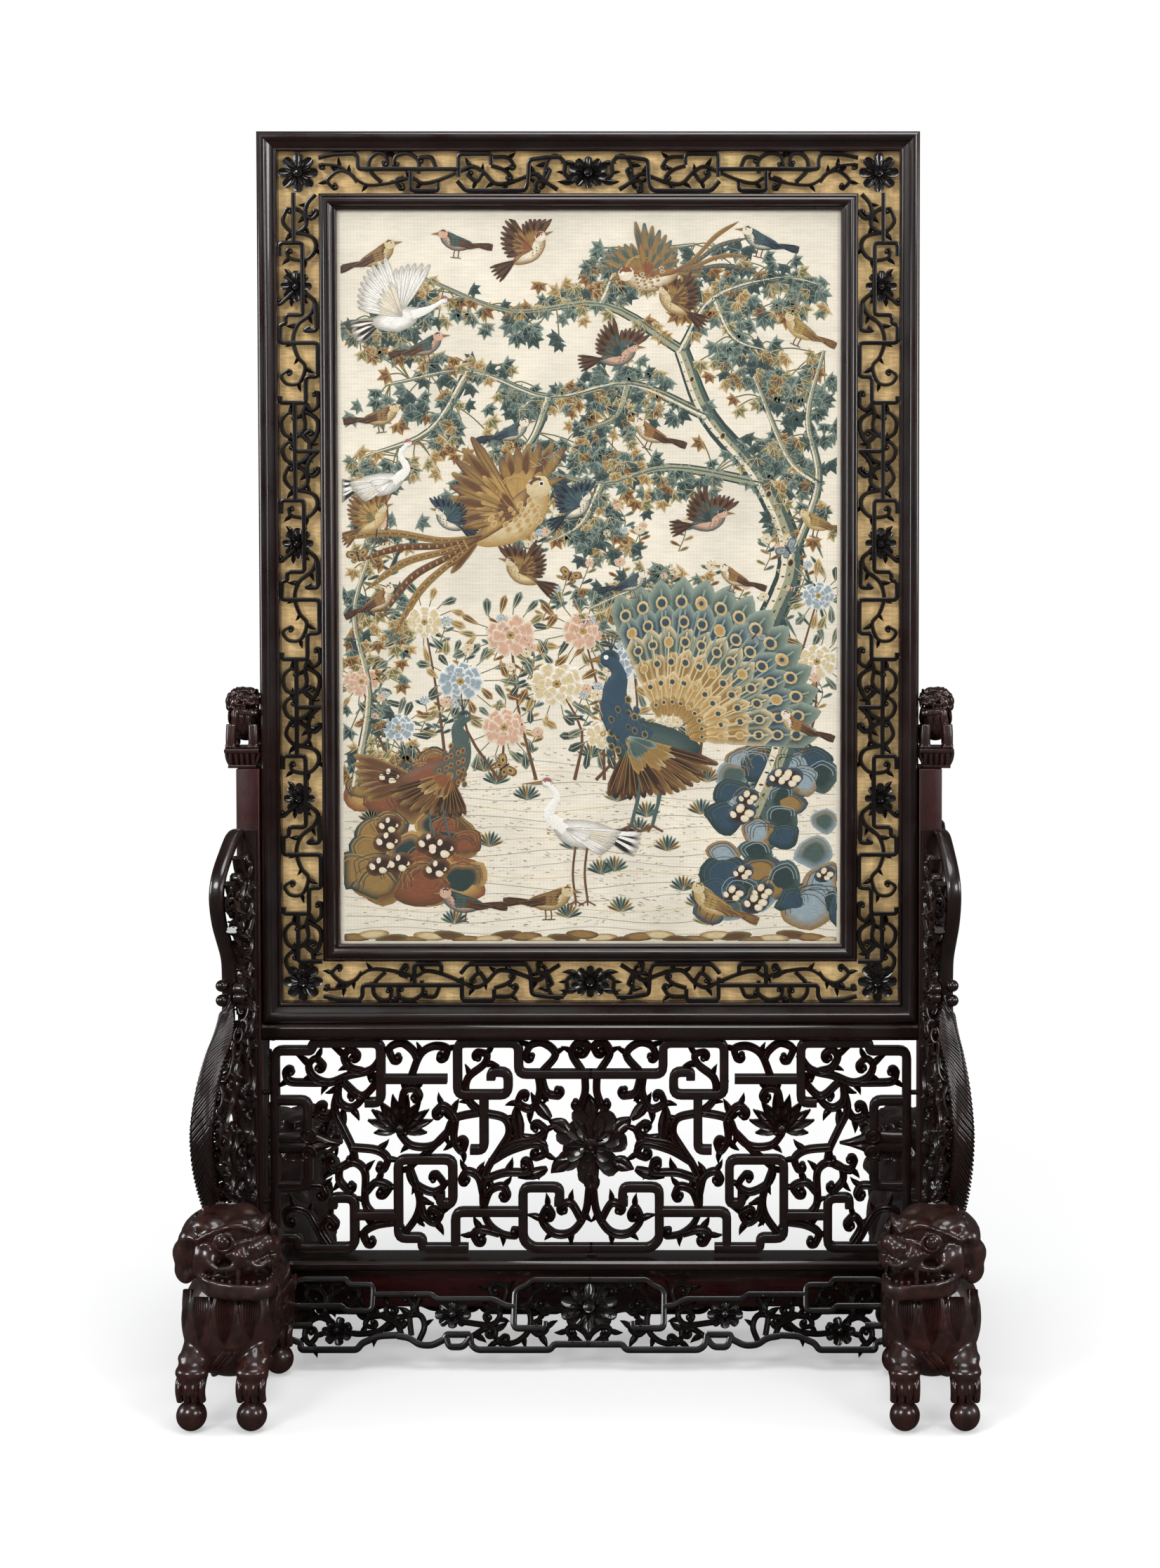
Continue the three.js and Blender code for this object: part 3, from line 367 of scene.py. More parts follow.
class Carving:
    """Gathers closed shells and makes one mesh of them."""

    def __init__(self):
        self.points = []
        self.faces = []
        self.tints = []
        self.threads = []
        self.tint = (1, 1, 1)

    def add(self, points, faces, threads=None):
        start = len(self.points)
        self.points.extend(points)
        self.faces.extend([tuple(start + i for i in face) for face in faces])
        self.tints.extend([self.tint] * len(points))
        self.threads.extend(threads or [(0.0, 0.0)] * len(points))

    def rings(self, rings, threads=None, closed=False):
        """Joins rings of points into a tube with closed ends."""
        count = len(rings[0])
        faces = []
        for i in range(len(rings) - (0 if closed else 1)):
            after = (i + 1) % len(rings)
            for k in range(count):
                following = (k + 1) % count
                faces.append((i * count + k, i * count + following, after * count + following, after * count + k))
        if not closed:
            faces.append(tuple(reversed(range(count))))
            faces.append(tuple((len(rings) - 1) * count + k for k in range(count)))
        self.add([p for ring in rings for p in ring], faces, threads)

    def make(self, name, stitched=False):
        mesh = bpy.data.meshes.new(name)
        mesh.from_pydata(self.points, [], self.faces)
        piece = bpy.data.objects.new(name, mesh)
        bpy.context.scene.collection.objects.link(piece)
        turned_outwards(piece)
        if stitched:
            colours = mesh.color_attributes.new("tint", "FLOAT_COLOR", "POINT")
            for i, tint in enumerate(self.tints):
                colours.data[i].color = linear(tint)
            layer = mesh.uv_layers.new(name="UVMap")
            for loop in mesh.loops:
                layer.data[loop.index].uv = self.threads[loop.vertex_index]
        return piece


def copy_of(piece, name, turn):
    """A copy with its own mesh, moved by a matrix. A mirrored copy is turned the right way out."""
    twin = piece.copy()
    twin.data = piece.data.copy()
    bpy.context.scene.collection.objects.link(twin)
    twin.data.transform(turn)
    if turn.determinant() < 0:
        twin.data.flip_normals()
    twin.name = name
    return twin


MIRROR_X = Matrix.Scale(-1, 4, (1, 0, 0))
MIRROR_Y = Matrix.Scale(-1, 4, (0, 1, 0))


def softened(node, finish, body, edge=None):
    """A copy of a sawn CAD node with its edges worn round."""
    edge = edge or bpy.context.scene.screen_carving.edge
    piece = bpy.data.objects.new(node + "_worn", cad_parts[node].data.copy())
    bpy.context.scene.collection.objects.link(piece)
    shells = bmesh.new()
    shells.from_mesh(piece.data)
    bmesh.ops.remove_doubles(shells, verts=shells.verts, dist=1e-5)
    bmesh.ops.dissolve_limit(shells, angle_limit=math.radians(1), verts=shells.verts, edges=shells.edges)
    shells.to_mesh(piece.data)
    shells.free()
    use_modifier(piece, "BEVEL", width=edge, segments=2, limit_method="ANGLE", angle_limit=math.radians(30))
    return done(piece, piece.name, finish, body, [node])


# Carved bands, leaves, flowers and bosses on a flat drawing.

# Sections run round a band: s across from -1 to 1 and d out of the wood from 0 to 1.
BAR = [(-1, 0.12), (-0.8, 0), (0.8, 0), (1, 0.12), (1, 0.84), (0.92, 0.95), (0.72, 0.99), (0, 1.0),
       (-0.72, 0.99), (-0.92, 0.95), (-1, 0.84)]
FLUTED = [(-0.9, 0.1), (-0.5, 0), (0.5, 0), (0.9, 0.1), (1, 0.5), (0.85, 0.86), (0.5, 1.0), (0.2, 0.84), (0, 0.78),
          (-0.2, 0.84), (-0.5, 1.0), (-0.85, 0.86), (-1, 0.5)]
THIN = [(-0.9, 0.1), (0.9, 0.1), (1, 0.6), (0.6, 0.95), (0, 1.0), (-0.6, 0.95), (-1, 0.6)]
LEAF = [(-1, 0.35), (-0.6, 0), (0.6, 0), (1, 0.35), (0.75, 0.8), (0.35, 0.92), (0, 0.66), (-0.35, 0.92),
        (-0.75, 0.8)]
CUPPED = [(-1, 0.4), (-0.6, 0), (0.6, 0), (1, 0.4), (0.86, 1.0), (0.4, 0.72), (0, 0.64), (-0.4, 0.72),
          (-0.86, 1.0)]


def both_faces(section):
    """A section carved alike on its front and its back."""
    front = [(s, 0.5 + d / 2) for s, d in section if d >= 0.5]
    return front + [(-s, 1 - d) for s, d in front]


def curve_through(path, steps=5):
    """More points on a smooth curve through the given ones."""
    points = [Vector(p) for p in path]
    if len(points) < 3:
        return [points[0].lerp(points[-1], i / 4) for i in range(5)]
    ends = [2 * points[0] - points[1], *points, 2 * points[-1] - points[-2]]
    made = []
    for i in range(1, len(ends) - 2):
        a, b, c, d = ends[i - 1:i + 3]
        for k in range(steps):
            t = k / steps
            made.append(0.5 * (2 * b + (c - a) * t + (2 * a - 5 * b + 4 * c - d) * t * t
                               + (3 * b - a - 3 * c + d) * t ** 3))
    return [*made, points[-1]]


def band(carving, place, path, widths, depth, section):
    """Sweeps a section along a flat path with mitred corners. widths gives the width at each share of the
    length, and so does depth where it isn't a number."""
    last = len(path) - 1
    rings = []
    for i, point in enumerate(path):
        u, v = point[0], point[1]
        before, after = path[max(i - 1, 0)], path[min(i + 1, last)]
        back = Vector((u - before[0], v - before[1])).normalized() if i else None
        ahead = Vector((after[0] - u, after[1] - v)).normalized() if i < last else None
        back, ahead = back or ahead, ahead or back
        along = (back + ahead).normalized() if (back + ahead).length > 1e-6 else ahead
        half = widths(i / last) / 2 / max(along.dot(ahead), 0.6)
        deep = depth(i / last) if callable(depth) else depth
        rings.append([place @ Vector((u - along.y * s * half, v + along.x * s * half, d * deep))
                      for s, d in section])
    carving.rings(rings)


def boss(carving, place, u, v, profile, sides=14):
    """A round knob in relief: profile is a list of (radius, height), from its foot to its top."""
    rings = []
    for radius, height in profile:
        rings.append([place @ Vector((u + radius * math.cos(2 * math.pi * k / sides),
                                      v + radius * math.sin(2 * math.pi * k / sides), height))
                      for k in range(sides)])
    carving.rings(rings)


def bud(carving, place, u, v, radius, depth):
    """The ringed ball that ends a curl."""
    boss(carving, place, u, v, [(radius * r, depth * h) for r, h in (
        (0.6, 0), (1.0, 0.15), (1.0, 0.75), (0.86, 0.95), (0.66, 0.86), (0.56, 1.04), (0.3, 1.16), (0.05, 1.18))],
        12)


def leaf(carving, place, start, direction, length, width, depth, section=LEAF, bend=0.25):
    """A pointed leaf that curves a little to its left."""
    direction = Vector(direction).normalized()
    side = Vector((-direction.y, direction.x))
    path = [Vector(start) + direction * length * t + side * length * bend * t * t for t in
            (0, 0.15, 0.35, 0.55, 0.75, 0.9, 1.0)]
    shape = (0.45, 0.8, 1.0, 0.92, 0.62, 0.3, 0.06)
    band(carving, place, path, lambda t: width * shape[round(t * 6)], lambda t: depth * (1 - 0.35 * t), section)


def flower(carving, place, u, v, radius, petals, depth, layers=2, squash=1.0, turn=0.0, section=CUPPED):
    """Rings of cupped petals round a boss."""
    shape = (0.3, 0.74, 1.0, 1.02, 0.86, 0.42)
    for layer in range(layers):
        reach = radius * (1 - 0.34 * layer)
        wide = 2.1 * math.pi * reach / petals * 0.62
        for i in range(petals):
            angle = 2 * math.pi * (i + 0.5 * layer) / petals + turn
            out = Vector((math.cos(angle), math.sin(angle) * squash))
            path = [Vector((u, v)) + out * reach * t for t in (0.1, 0.36, 0.6, 0.8, 0.93, 1.0)]
            band(carving, place, path, lambda t: wide * shape[round(t * 5)],
                 lambda t: depth * (0.82 + 0.18 * layer) * (1 - 0.3 * t), section)
    core = radius * 0.22
    boss(carving, place, u, v, [(core * r, depth * h) for r, h in (
        (1, 0), (1, 0.95), (0.86, 1.08), (0.6, 1.0), (0.5, 1.14), (0.06, 1.2))], 14)


def bent(a, b, c):
    """How far a path turns at b, signed, positive to the left."""
    first, second = Vector(b) - Vector(a), Vector(c) - Vector(b)
    return first.cross(second) / max(first.length * second.length, 1e-9)


def eased(path, radius):
    """A path whose corners are rounded."""
    points = [Vector(p) for p in path]
    made = [points[0]]
    for before, corner, after in zip(points, points[1:], points[2:]):
        cut = min(radius, (before - corner).length * 0.45, (after - corner).length * 0.45)
        first, last = (corner + (end - corner).normalized() * cut for end in (before, after))
        made.extend(first.lerp(corner, t).lerp(corner.lerp(last, t), t) for t in (0, 0.25, 0.5, 0.75, 1))
    return [*made, points[-1]]


def hooked(path, turn, step, bends=4):
    """A vine's path that curls further in at its start."""
    points = [Vector(p) for p in path]
    way = (points[0] - points[1]).normalized()
    for k in range(bends):
        way = Matrix.Rotation(-turn * math.radians(30 + 14 * k), 2) @ way
        points.insert(0, points[0] + way * step)
    return points


def vine(carving, place, path, sizes, depth, bounds, section):
    """A vine that grows from a curled bud, with a leaf on the outer side of its bends."""
    vine_width, tip, knob = sizes["vine"] * MM, sizes["tip"] * MM, sizes["bud"] * MM / 2
    turn = bent(*path[:3]) if len(path) > 2 else 1
    start = hooked(path, 1 if turn > 0 else -1, vine_width * 0.42)
    band(carving, place, curve_through(start), lambda t: tip + (vine_width - tip) * min(1, 1.5 * t), depth, section)
    bud(carving, place, start[0].x, start[0].y, knob, depth)
    for i in range(1, len(path) - 1):
        turn = bent(path[i - 1], path[i], path[i + 1])
        if abs(turn) < 0.25:
            continue
        along = (Vector(path[i + 1]) - Vector(path[i - 1])).normalized()
        outer = Vector((along.y, -along.x)) * (1 if turn > 0 else -1)
        direction = outer * 0.5 - along * 0.85
        length = sizes["leaf"] * MM * (0.8 + 0.4 * ((i * 7) % 5) / 5)
        tip_place = Vector(path[i]) + direction.normalized() * length
        if not (bounds[0] < tip_place.x < bounds[1] and bounds[2] < tip_place.y < bounds[3]):
            continue
        leaf(carving, place, path[i], direction, length, length * 0.5, depth * 0.97,
             bend=0.45 if turn > 0 else -0.45)


def fretwork(carving, place, pattern, stretch, sizes, depth, bounds, section=FLUTED, bar=BAR):
    """Bars and vines of one drawing, in millimetres, stretched to its real opening."""
    def real(path):
        return [(u * MM * stretch[0], v * MM * stretch[1]) for u, v in path]

    for i, path in enumerate(pattern["bars"]):
        corners = eased(real(path), sizes["bar"] * MM * 0.9)
        band(carving, place, corners, lambda t: sizes["bar"] * MM, depth * (1 - 0.012 * (i % 3)), bar)
    for i, path in enumerate(pattern["vines"]):
        vine(carving, place, real(path), sizes, depth * (0.93 - 0.015 * (i % 3)), bounds, section)


# Drawings in millimetres, with u outwards from the middle and v up from the lower edge.

PANEL = {
    "half_width": 487.5, "height": 330,
    "bars": [
        [(344, 231), (320, 231), (320, 323), (424, 323), (424, 311), (481, 311), (481, 23), (447, 23), (447, 7),
         (361, 7), (361, 84), (394, 84), (394, 68)],
        [(320, 267), (219, 267)],
        [(152, 266), (152, 278), (126, 278), (126, 243), (203, 243), (203, 323), (110, 323), (110, 275), (-2, 275)],
        [(163, 243), (163, 158), (184, 158)],
        [(481, 234), (431, 234), (431, 184)],
        [(481, 102), (431, 102), (431, 152)],
        [(230, 92), (230, 75), (211, 75), (211, 143), (294, 143), (294, 22), (258, 22), (258, 6), (188, 6)],
        [(207, 6), (207, 62), (104, 62)],
        [(56, 78), (48, 78), (48, 100), (104, 100), (104, 19), (90, 6), (-2, 6)],
        [(361, 57), (294, 57)],
    ],
    "vines": [
        [(409, 290), (420, 298), (430, 287), (422, 269), (399, 261), (369, 272), (335, 281), (317, 304)],
        [(357, 306), (367, 312), (376, 301), (367, 284), (348, 278)],
        [(302, 297), (307, 314), (288, 322), (271, 310), (264, 296)],
        [(221, 301), (220, 314), (240, 317), (260, 304), (274, 270)],
        [(465, 275), (459, 263), (434, 261), (399, 261)],
        [(357, 243), (352, 232), (368, 222), (384, 232), (385, 255), (379, 270)],
        [(326, 262), (350, 240), (378, 262)],
        [(360, 143), (365, 162), (378, 190), (391, 220), (385, 250)],
        [(416, 223), (416, 210), (400, 207), (388, 226)],
        [(314, 130), (311, 145), (328, 157), (365, 161)],
        [(402, 138), (394, 127), (377, 132), (361, 138), (345, 122), (345, 76), (332, 56)],
        [(372, 96), (384, 110), (383, 128), (372, 136)],
        [(406, 92), (413, 102), (432, 102)],
        [(314, 89), (309, 101), (328, 107), (343, 92)],
        [(464, 46), (466, 62), (448, 68), (430, 58), (414, 28), (402, 10)],
        [(391, 46), (402, 54), (412, 38), (399, 14)],
        [(343, 14), (347, 29), (328, 41), (298, 46)],
        [(290, 180), (274, 164), (243, 163), (221, 182), (207, 206), (162, 216)],
        [(262, 243), (270, 252), (284, 248), (289, 226)],
        [(236, 218), (225, 225), (210, 212), (207, 198)],
        [(170, 308), (158, 303), (164, 288), (186, 270), (191, 250), (184, 230), (166, 214)],
        [(192, 166), (198, 156), (209, 174), (207, 200)],
        [(118, 24), (138, 28), (157, 44), (165, 70), (164, 104), (157, 130), (138, 160), (125, 184), (132, 206),
         (162, 214)],
        [(79, 197), (70, 186), (86, 175), (114, 170), (140, 158)],
        [(81, 146), (70, 153), (82, 167), (121, 157), (154, 138)],
        [(94, 135), (96, 123), (131, 122), (161, 112)],
        [(197, 115), (188, 124), (172, 115), (165, 88)],
        [(128, 90), (136, 101), (154, 94), (164, 70)],
        [(8, 307), (5, 318), (19, 323), (29, 306), (14, 280)],
        [(99, 304), (91, 319), (72, 322), (54, 304), (76, 276)],
        [(108, 241), (110, 228), (90, 221), (78, 246), (80, 272)],
        [(52, 241), (68, 246), (76, 272)],
        [(16, 226), (9, 246), (9, 270)],
        [(60, 60), (68, 68), (75, 48), (56, 28), (29, 31), (9, 60), (3, 100)],
        [(44, 72), (30, 74), (14, 46)],
        [(234, 118), (225, 102), (243, 92), (270, 106), (276, 130), (251, 152), (220, 184)],
        [(284, 30), (266, 56), (262, 84), (276, 126)],
        [(238, 65), (230, 58), (240, 45), (256, 58), (261, 80)],
        [(175, 16), (179, 28), (166, 34), (140, 28)],
    ],
}
CROSS = {
    "half_width": 405, "height": 62,
    "bars": [
        [(405, 9), (385, 4), (351, 2.5), (346, 9), (346, 26), (195, 26)],
        [(267, 26), (267, 58.5), (226, 58.5), (226, 46)],
        [(195, 38), (195, 3), (146, 3), (146, 20)],
        [(197, 44), (185, 58.5), (96, 58.5), (91, 48), (89, 12), (63, 8), (40, 8)],
        [(405, 21), (398, 19)],
    ],
    "vines": [
        [(399, 19), (372, 23), (351, 40), (331, 50), (297, 47), (267, 39), (250, 47), (226, 43), (194, 30),
         (175, 22), (158, 30), (141, 47), (121, 47), (100, 40), (80, 33), (63, 46), (46, 57)],
        [(384, 54), (392, 43), (375, 29), (358, 33), (347, 46)],
        [(302, 16), (306, 4), (319, 3), (329, 13), (328, 29), (311, 46)],
        [(292, 18), (288, 6), (270, 3), (255, 14), (256, 33)],
        [(284, 54), (289, 43), (277, 38)],
        [(252, 9), (236, 9), (228, 26)],
        [(117, 36), (128, 27), (146, 21)],
        [(112, 20), (122, 9), (146, 8)],
        [(58, 30), (66, 46), (62, 16), (50, 6), (36, 16), (36, 33), (26, 40)],
        [(80, 56), (77, 44), (64, 46)],
        [(180, 36), (168, 44), (158, 30)],
    ],
}
SIDE = {
    "width": 62, "height": 387,
    "bars": [
        [(30, 0), (-7, 0), (-7, 73)],
        [(-7, 314), (-7, 388)],
        [(-28.5, 293), (-28.5, 313), (6, 313), (6, 205), (-20, 205), (-20, 192), (-28.5, 190), (-28.5, 163),
         (28.5, 163), (28.5, 112), (10, 112), (10, 73), (-28.5, 73), (-28.5, 83)],
        [(17, 187), (8, 181), (27, 181), (26, 222)],
    ],
    "vines": [
        [(-9, 9), (-17, 14), (-26, 2), (-20, -14), (-3, -18), (14, -6), (14, 14), (0, 26)],
        [(-18, 362), (-23, 344), (-7, 328), (11, 338), (8, 356), (-7, 366)],
        [(-17, 298), (-12, 289), (12, 288), (26, 305), (20, 322), (-7, 329)],
        [(28, 356), (20, 349), (11, 357), (14, 372), (26, 386)],
        [(-18, 121), (-27, 113), (-18, 101), (0, 103), (9, 127), (-2, 142), (-9, 166), (-2, 190), (16, 205),
         (24, 224), (8, 240)],
        [(-6, 54), (-16, 58), (-27, 45), (-23, 26), (-6, 21), (8, 36), (6, 57), (11, 73)],
        [(28, 86), (28, 69), (18, 62), (9, 73)],
        [(13, 30), (6, 22), (18, 14), (27, 30), (26, 48), (9, 60)],
        [(-27, 222), (-18, 230), (-8, 240)],
    ],
}
APRON = {
    "half_width": 457, "height": 112,
    "bars": [
        [(453, 20), (453, 99), (436, 107), (368, 107), (364, 99), (327, 99), (327, 61), (366, 61), (372, 68),
         (449, 68)],
        [(453, 22), (431, 15), (431, 5), (346, 5), (340, 14), (315, 25), (287, 26)],
        [(453, 40), (416, 40)],
        [(327, 85), (238, 85), (230, 78), (143, 78), (128, 69), (112, 67)],
        [(66, 46), (66, 36), (113, 36), (113, 91), (96, 98), (87, 106), (-2, 106)],
        [(178, 28), (175, 11), (166, 5), (57, 5), (51, 13), (-2, 13)],
        [(213, 22), (209, 9), (187, 9), (178, 22)],
        [(287, 25), (268, 22), (254, 12), (234, 11), (216, 20), (213, 27), (178, 27)],
    ],
    "vines": [
        [(416, 71), (428, 83), (423, 95), (407, 92), (398, 78), (398, 59), (388, 45)],
        [(361, 73), (348, 82), (354, 94), (375, 94), (390, 84), (396, 66)],
        [(411, 33), (409, 24), (418, 14), (426, 25), (422, 43), (407, 52), (390, 47)],
        [(325, 38), (336, 41), (331, 52), (316, 55), (300, 48), (287, 40), (280, 24)],
        [(362, 30), (342, 28), (316, 32), (300, 44)],
        [(294, 67), (306, 67), (302, 56), (287, 52), (257, 56), (247, 39), (255, 16)],
        [(272, 80), (265, 64), (270, 53), (266, 26)],
        [(283, 39), (292, 44), (284, 53)],
        [(256, 82), (264, 58)],
        [(148, 87), (150, 97), (137, 101), (125, 92), (130, 72)],
        [(156, 55), (148, 64), (135, 59), (137, 48), (151, 41), (194, 46)],
        [(147, 24), (140, 27), (142, 35), (157, 35), (172, 26), (180, 24)],
        [(128, 24), (134, 16), (113, 15), (96, 25), (88, 40), (90, 59), (104, 66)],
        [(75, 46), (63, 36), (75, 27), (88, 36)],
        [(59, 91), (52, 97), (66, 99), (84, 87), (94, 70), (113, 64)],
        [(37, 95), (25, 98), (16, 86), (12, 70)],
        [(28, 26), (32, 34), (22, 39), (7, 31), (-1, 20)],
        [(20, 22), (8, 12)],
        [(78, 66), (66, 58), (56, 64), (40, 62)],
    ],
}
# One repeat of the scrolls that stand beside the rim of a spandrel.
SCROLL = {
    "bars": [],
    "vines": [
        [(12, 18), (7, 12), (10, 4), (20, 5), (23, 16), (17, 27), (7, 34), (4, 46), (9, 57)],
        [(14, 50), (19, 54), (17, 63), (7, 63), (3, 52)],
        [(20, 40), (24, 48), (22, 62), (15, 74), (13, 84)],
        [(10, 30), (4, 26), (3, 16)],
    ],
}

# The spandrel: u out from the post's face and v up from the foot's deck.
SPANDREL = {
    "rim": [(7, 594), (30, 592), (58, 574), (86, 552), (101, 530), (103, 506), (92, 474), (72, 444), (56, 420),
            (50, 396), (50, 342), (60, 318), (86, 294), (120, 272), (152, 240), (172, 205), (178, 180), (170, 140),
            (150, 100), (126, 66), (100, 44), (70, 34), (36, 30)],
    "bars": [
        [(5, 0), (5, 600)],
        [(0, 5), (104, 5)],
        [(96, 5), (92, 22), (76, 36)],
        [(30, 5), (40, 20), (36, 34)],
    ],
    "vines": [
        [(112, 22), (104, 32), (92, 40)],
        [(30, 562), (20, 548), (34, 536), (52, 546), (62, 568)],
        [(66, 540), (54, 524), (68, 508), (88, 520), (98, 536)],
        [(30, 510), (18, 494), (32, 476), (54, 484), (62, 508), (50, 530)],
        [(74, 492), (60, 476), (70, 458), (92, 466)],
        [(8, 520), (24, 516), (44, 504)],
        [(34, 452), (20, 440), (28, 420), (52, 424), (66, 440)],
        [(8, 470), (22, 456), (40, 440)],
        [(24, 398), (34, 384), (26, 366), (8, 372)],
        [(58, 375), (44, 372), (8, 352)],
        [(58, 353), (44, 352), (28, 366)],
        [(34, 330), (20, 318), (30, 296), (56, 304), (62, 322)],
        [(8, 336), (20, 312), (10, 290)],
        [(62, 214), (46, 228), (48, 264), (72, 282), (98, 262), (100, 226), (82, 196)],
        [(84, 250), (66, 256), (58, 240)],
        [(22, 252), (12, 232), (24, 206), (44, 220), (50, 250)],
        [(8, 280), (34, 276), (50, 262)],
        [(124, 244), (108, 236), (112, 214), (136, 212), (150, 228)],
        [(142, 188), (126, 180), (128, 158), (150, 152), (166, 166)],
        [(108, 178), (96, 162), (104, 142), (126, 148), (138, 172), (130, 200), (104, 216)],
        [(38, 178), (22, 168), (24, 142), (48, 138), (66, 156), (70, 184), (90, 200)],
        [(8, 190), (20, 184), (40, 192), (62, 204)],
        [(74, 132), (58, 118), (66, 98), (88, 100), (104, 122), (108, 146)],
        [(132, 122), (116, 118), (110, 100), (124, 84), (138, 92)],
        [(28, 104), (16, 92), (22, 66), (44, 66), (56, 84), (62, 110)],
        [(8, 122), (24, 116), (40, 128)],
        [(86, 74), (72, 66), (72, 48), (96, 46)],
        [(18, 44), (10, 56), (24, 62)],
        [(92, 160), (80, 150), (66, 150)],
    ],
    "beads": [353, 375],
}


# The pieces: one operator for each group, and one for the stage.


class SCREEN_OT_frames(bpy.types.Operator):
    """The outer and inner frames: mitred members, moulded on the front"""

    bl_idname = "screen.frames"
    bl_label = "Moulded frames"

    # Sections in millimetres: s from the outer edge inwards, t back from the face of the frame.
    OUTER = [(0, 46), (0, 6), (1, 3.2), (3, 1.2), (6, 0.2), (9, 0.2), (12, 1.2), (14, 3.2), (14.8, 5.2), (16, 6),
             (23.5, 8), (24.3, 7.2), (25.2, 6.2), (26.6, 5.8), (28, 6.2), (29, 7.4), (29.6, 9), (30, 10.5),
             (30, 25.7), (21, 25.7), (21, 46)]
    INNER = [(0, 21.7), (0, 7), (0.6, 5), (2, 3.4), (4, 2.6), (5.4, 3.4), (6.4, 2.2), (8.6, 0.7), (11.5, 0.1),
             (14.4, 0.7), (16.6, 2.4), (18, 4.6), (19.4, 6.2), (21, 6.6), (22.4, 6.0), (24, 6.4), (25.4, 8), (26, 10),
             (26, 15.4), (20, 15.4), (20, 21.7)]

    def member(self, section, front, length, name, finish, nodes, turn, node_place):
        """One member: the section is drawn on a disc, extruded and mitred at both ends."""
        clear_selection()
        bpy.ops.mesh.primitive_circle_add(vertices=len(section), radius=0.01, fill_type="NGON",
                                          rotation=(0, math.radians(90), 0))
        piece = bpy.context.object
        settle(piece)
        for vertex, (s, t) in zip(piece.data.vertices, section):
            vertex.co = (-length / 2, front + t * MM, s * MM)
        bpy.ops.object.mode_set(mode="EDIT")
        bpy.ops.mesh.select_all(action="SELECT")
        bpy.ops.mesh.extrude_region_move(TRANSFORM_OT_translate={"value": (length, 0, 0)})
        for side in (-1, 1):
            bpy.ops.mesh.select_all(action="SELECT")
            bpy.ops.mesh.bisect(plane_co=(side * length / 2, 0, 0), plane_no=(side, 0, 1), use_fill=True,
                                clear_outer=True)
        bpy.ops.object.mode_set(mode="OBJECT")
        turned_outwards(piece)
        piece.data.transform(node_place @ turn)
        return done(piece, name, finish, "screen", nodes, smooth=32)

    def execute(self, context):
        for kind, section in (("outer", self.OUTER), ("inner", self.INNER)):
            low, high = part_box(f"{kind}_frame_left")[0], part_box(f"{kind}_frame_right")[1]
            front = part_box(f"{kind}_frame_left")[0].y
            middle = (low + high) / 2
            wide, tall = high.x - low.x, high.z - low.z
            for side, length, angle, reach in (("bottom", wide, 0, tall / 2), ("right", tall, -90, wide / 2),
                                               ("top", wide, 180, tall / 2), ("left", tall, 90, wide / 2)):
                turn = Matrix.Rotation(math.radians(angle), 4, "Y") @ Matrix.Translation((0, 0, -reach))
                self.member(section, front, length, f"{kind}_moulding_{side}",
                            "dark_x" if side in ("top", "bottom") else "dark_z", [f"{kind}_frame_{side}"], turn,
                            Matrix.Translation((middle.x, 0, middle.z)))
        return {"FINISHED"}


def upright_place(x, back, z, sign=1):
    """From a flat drawing to the front of an upright board whose back is at Y = back."""
    return Matrix(((sign, 0, 0, x), (0, 0, -1, back), (0, 1, 0, z), (0, 0, 0, 1)))


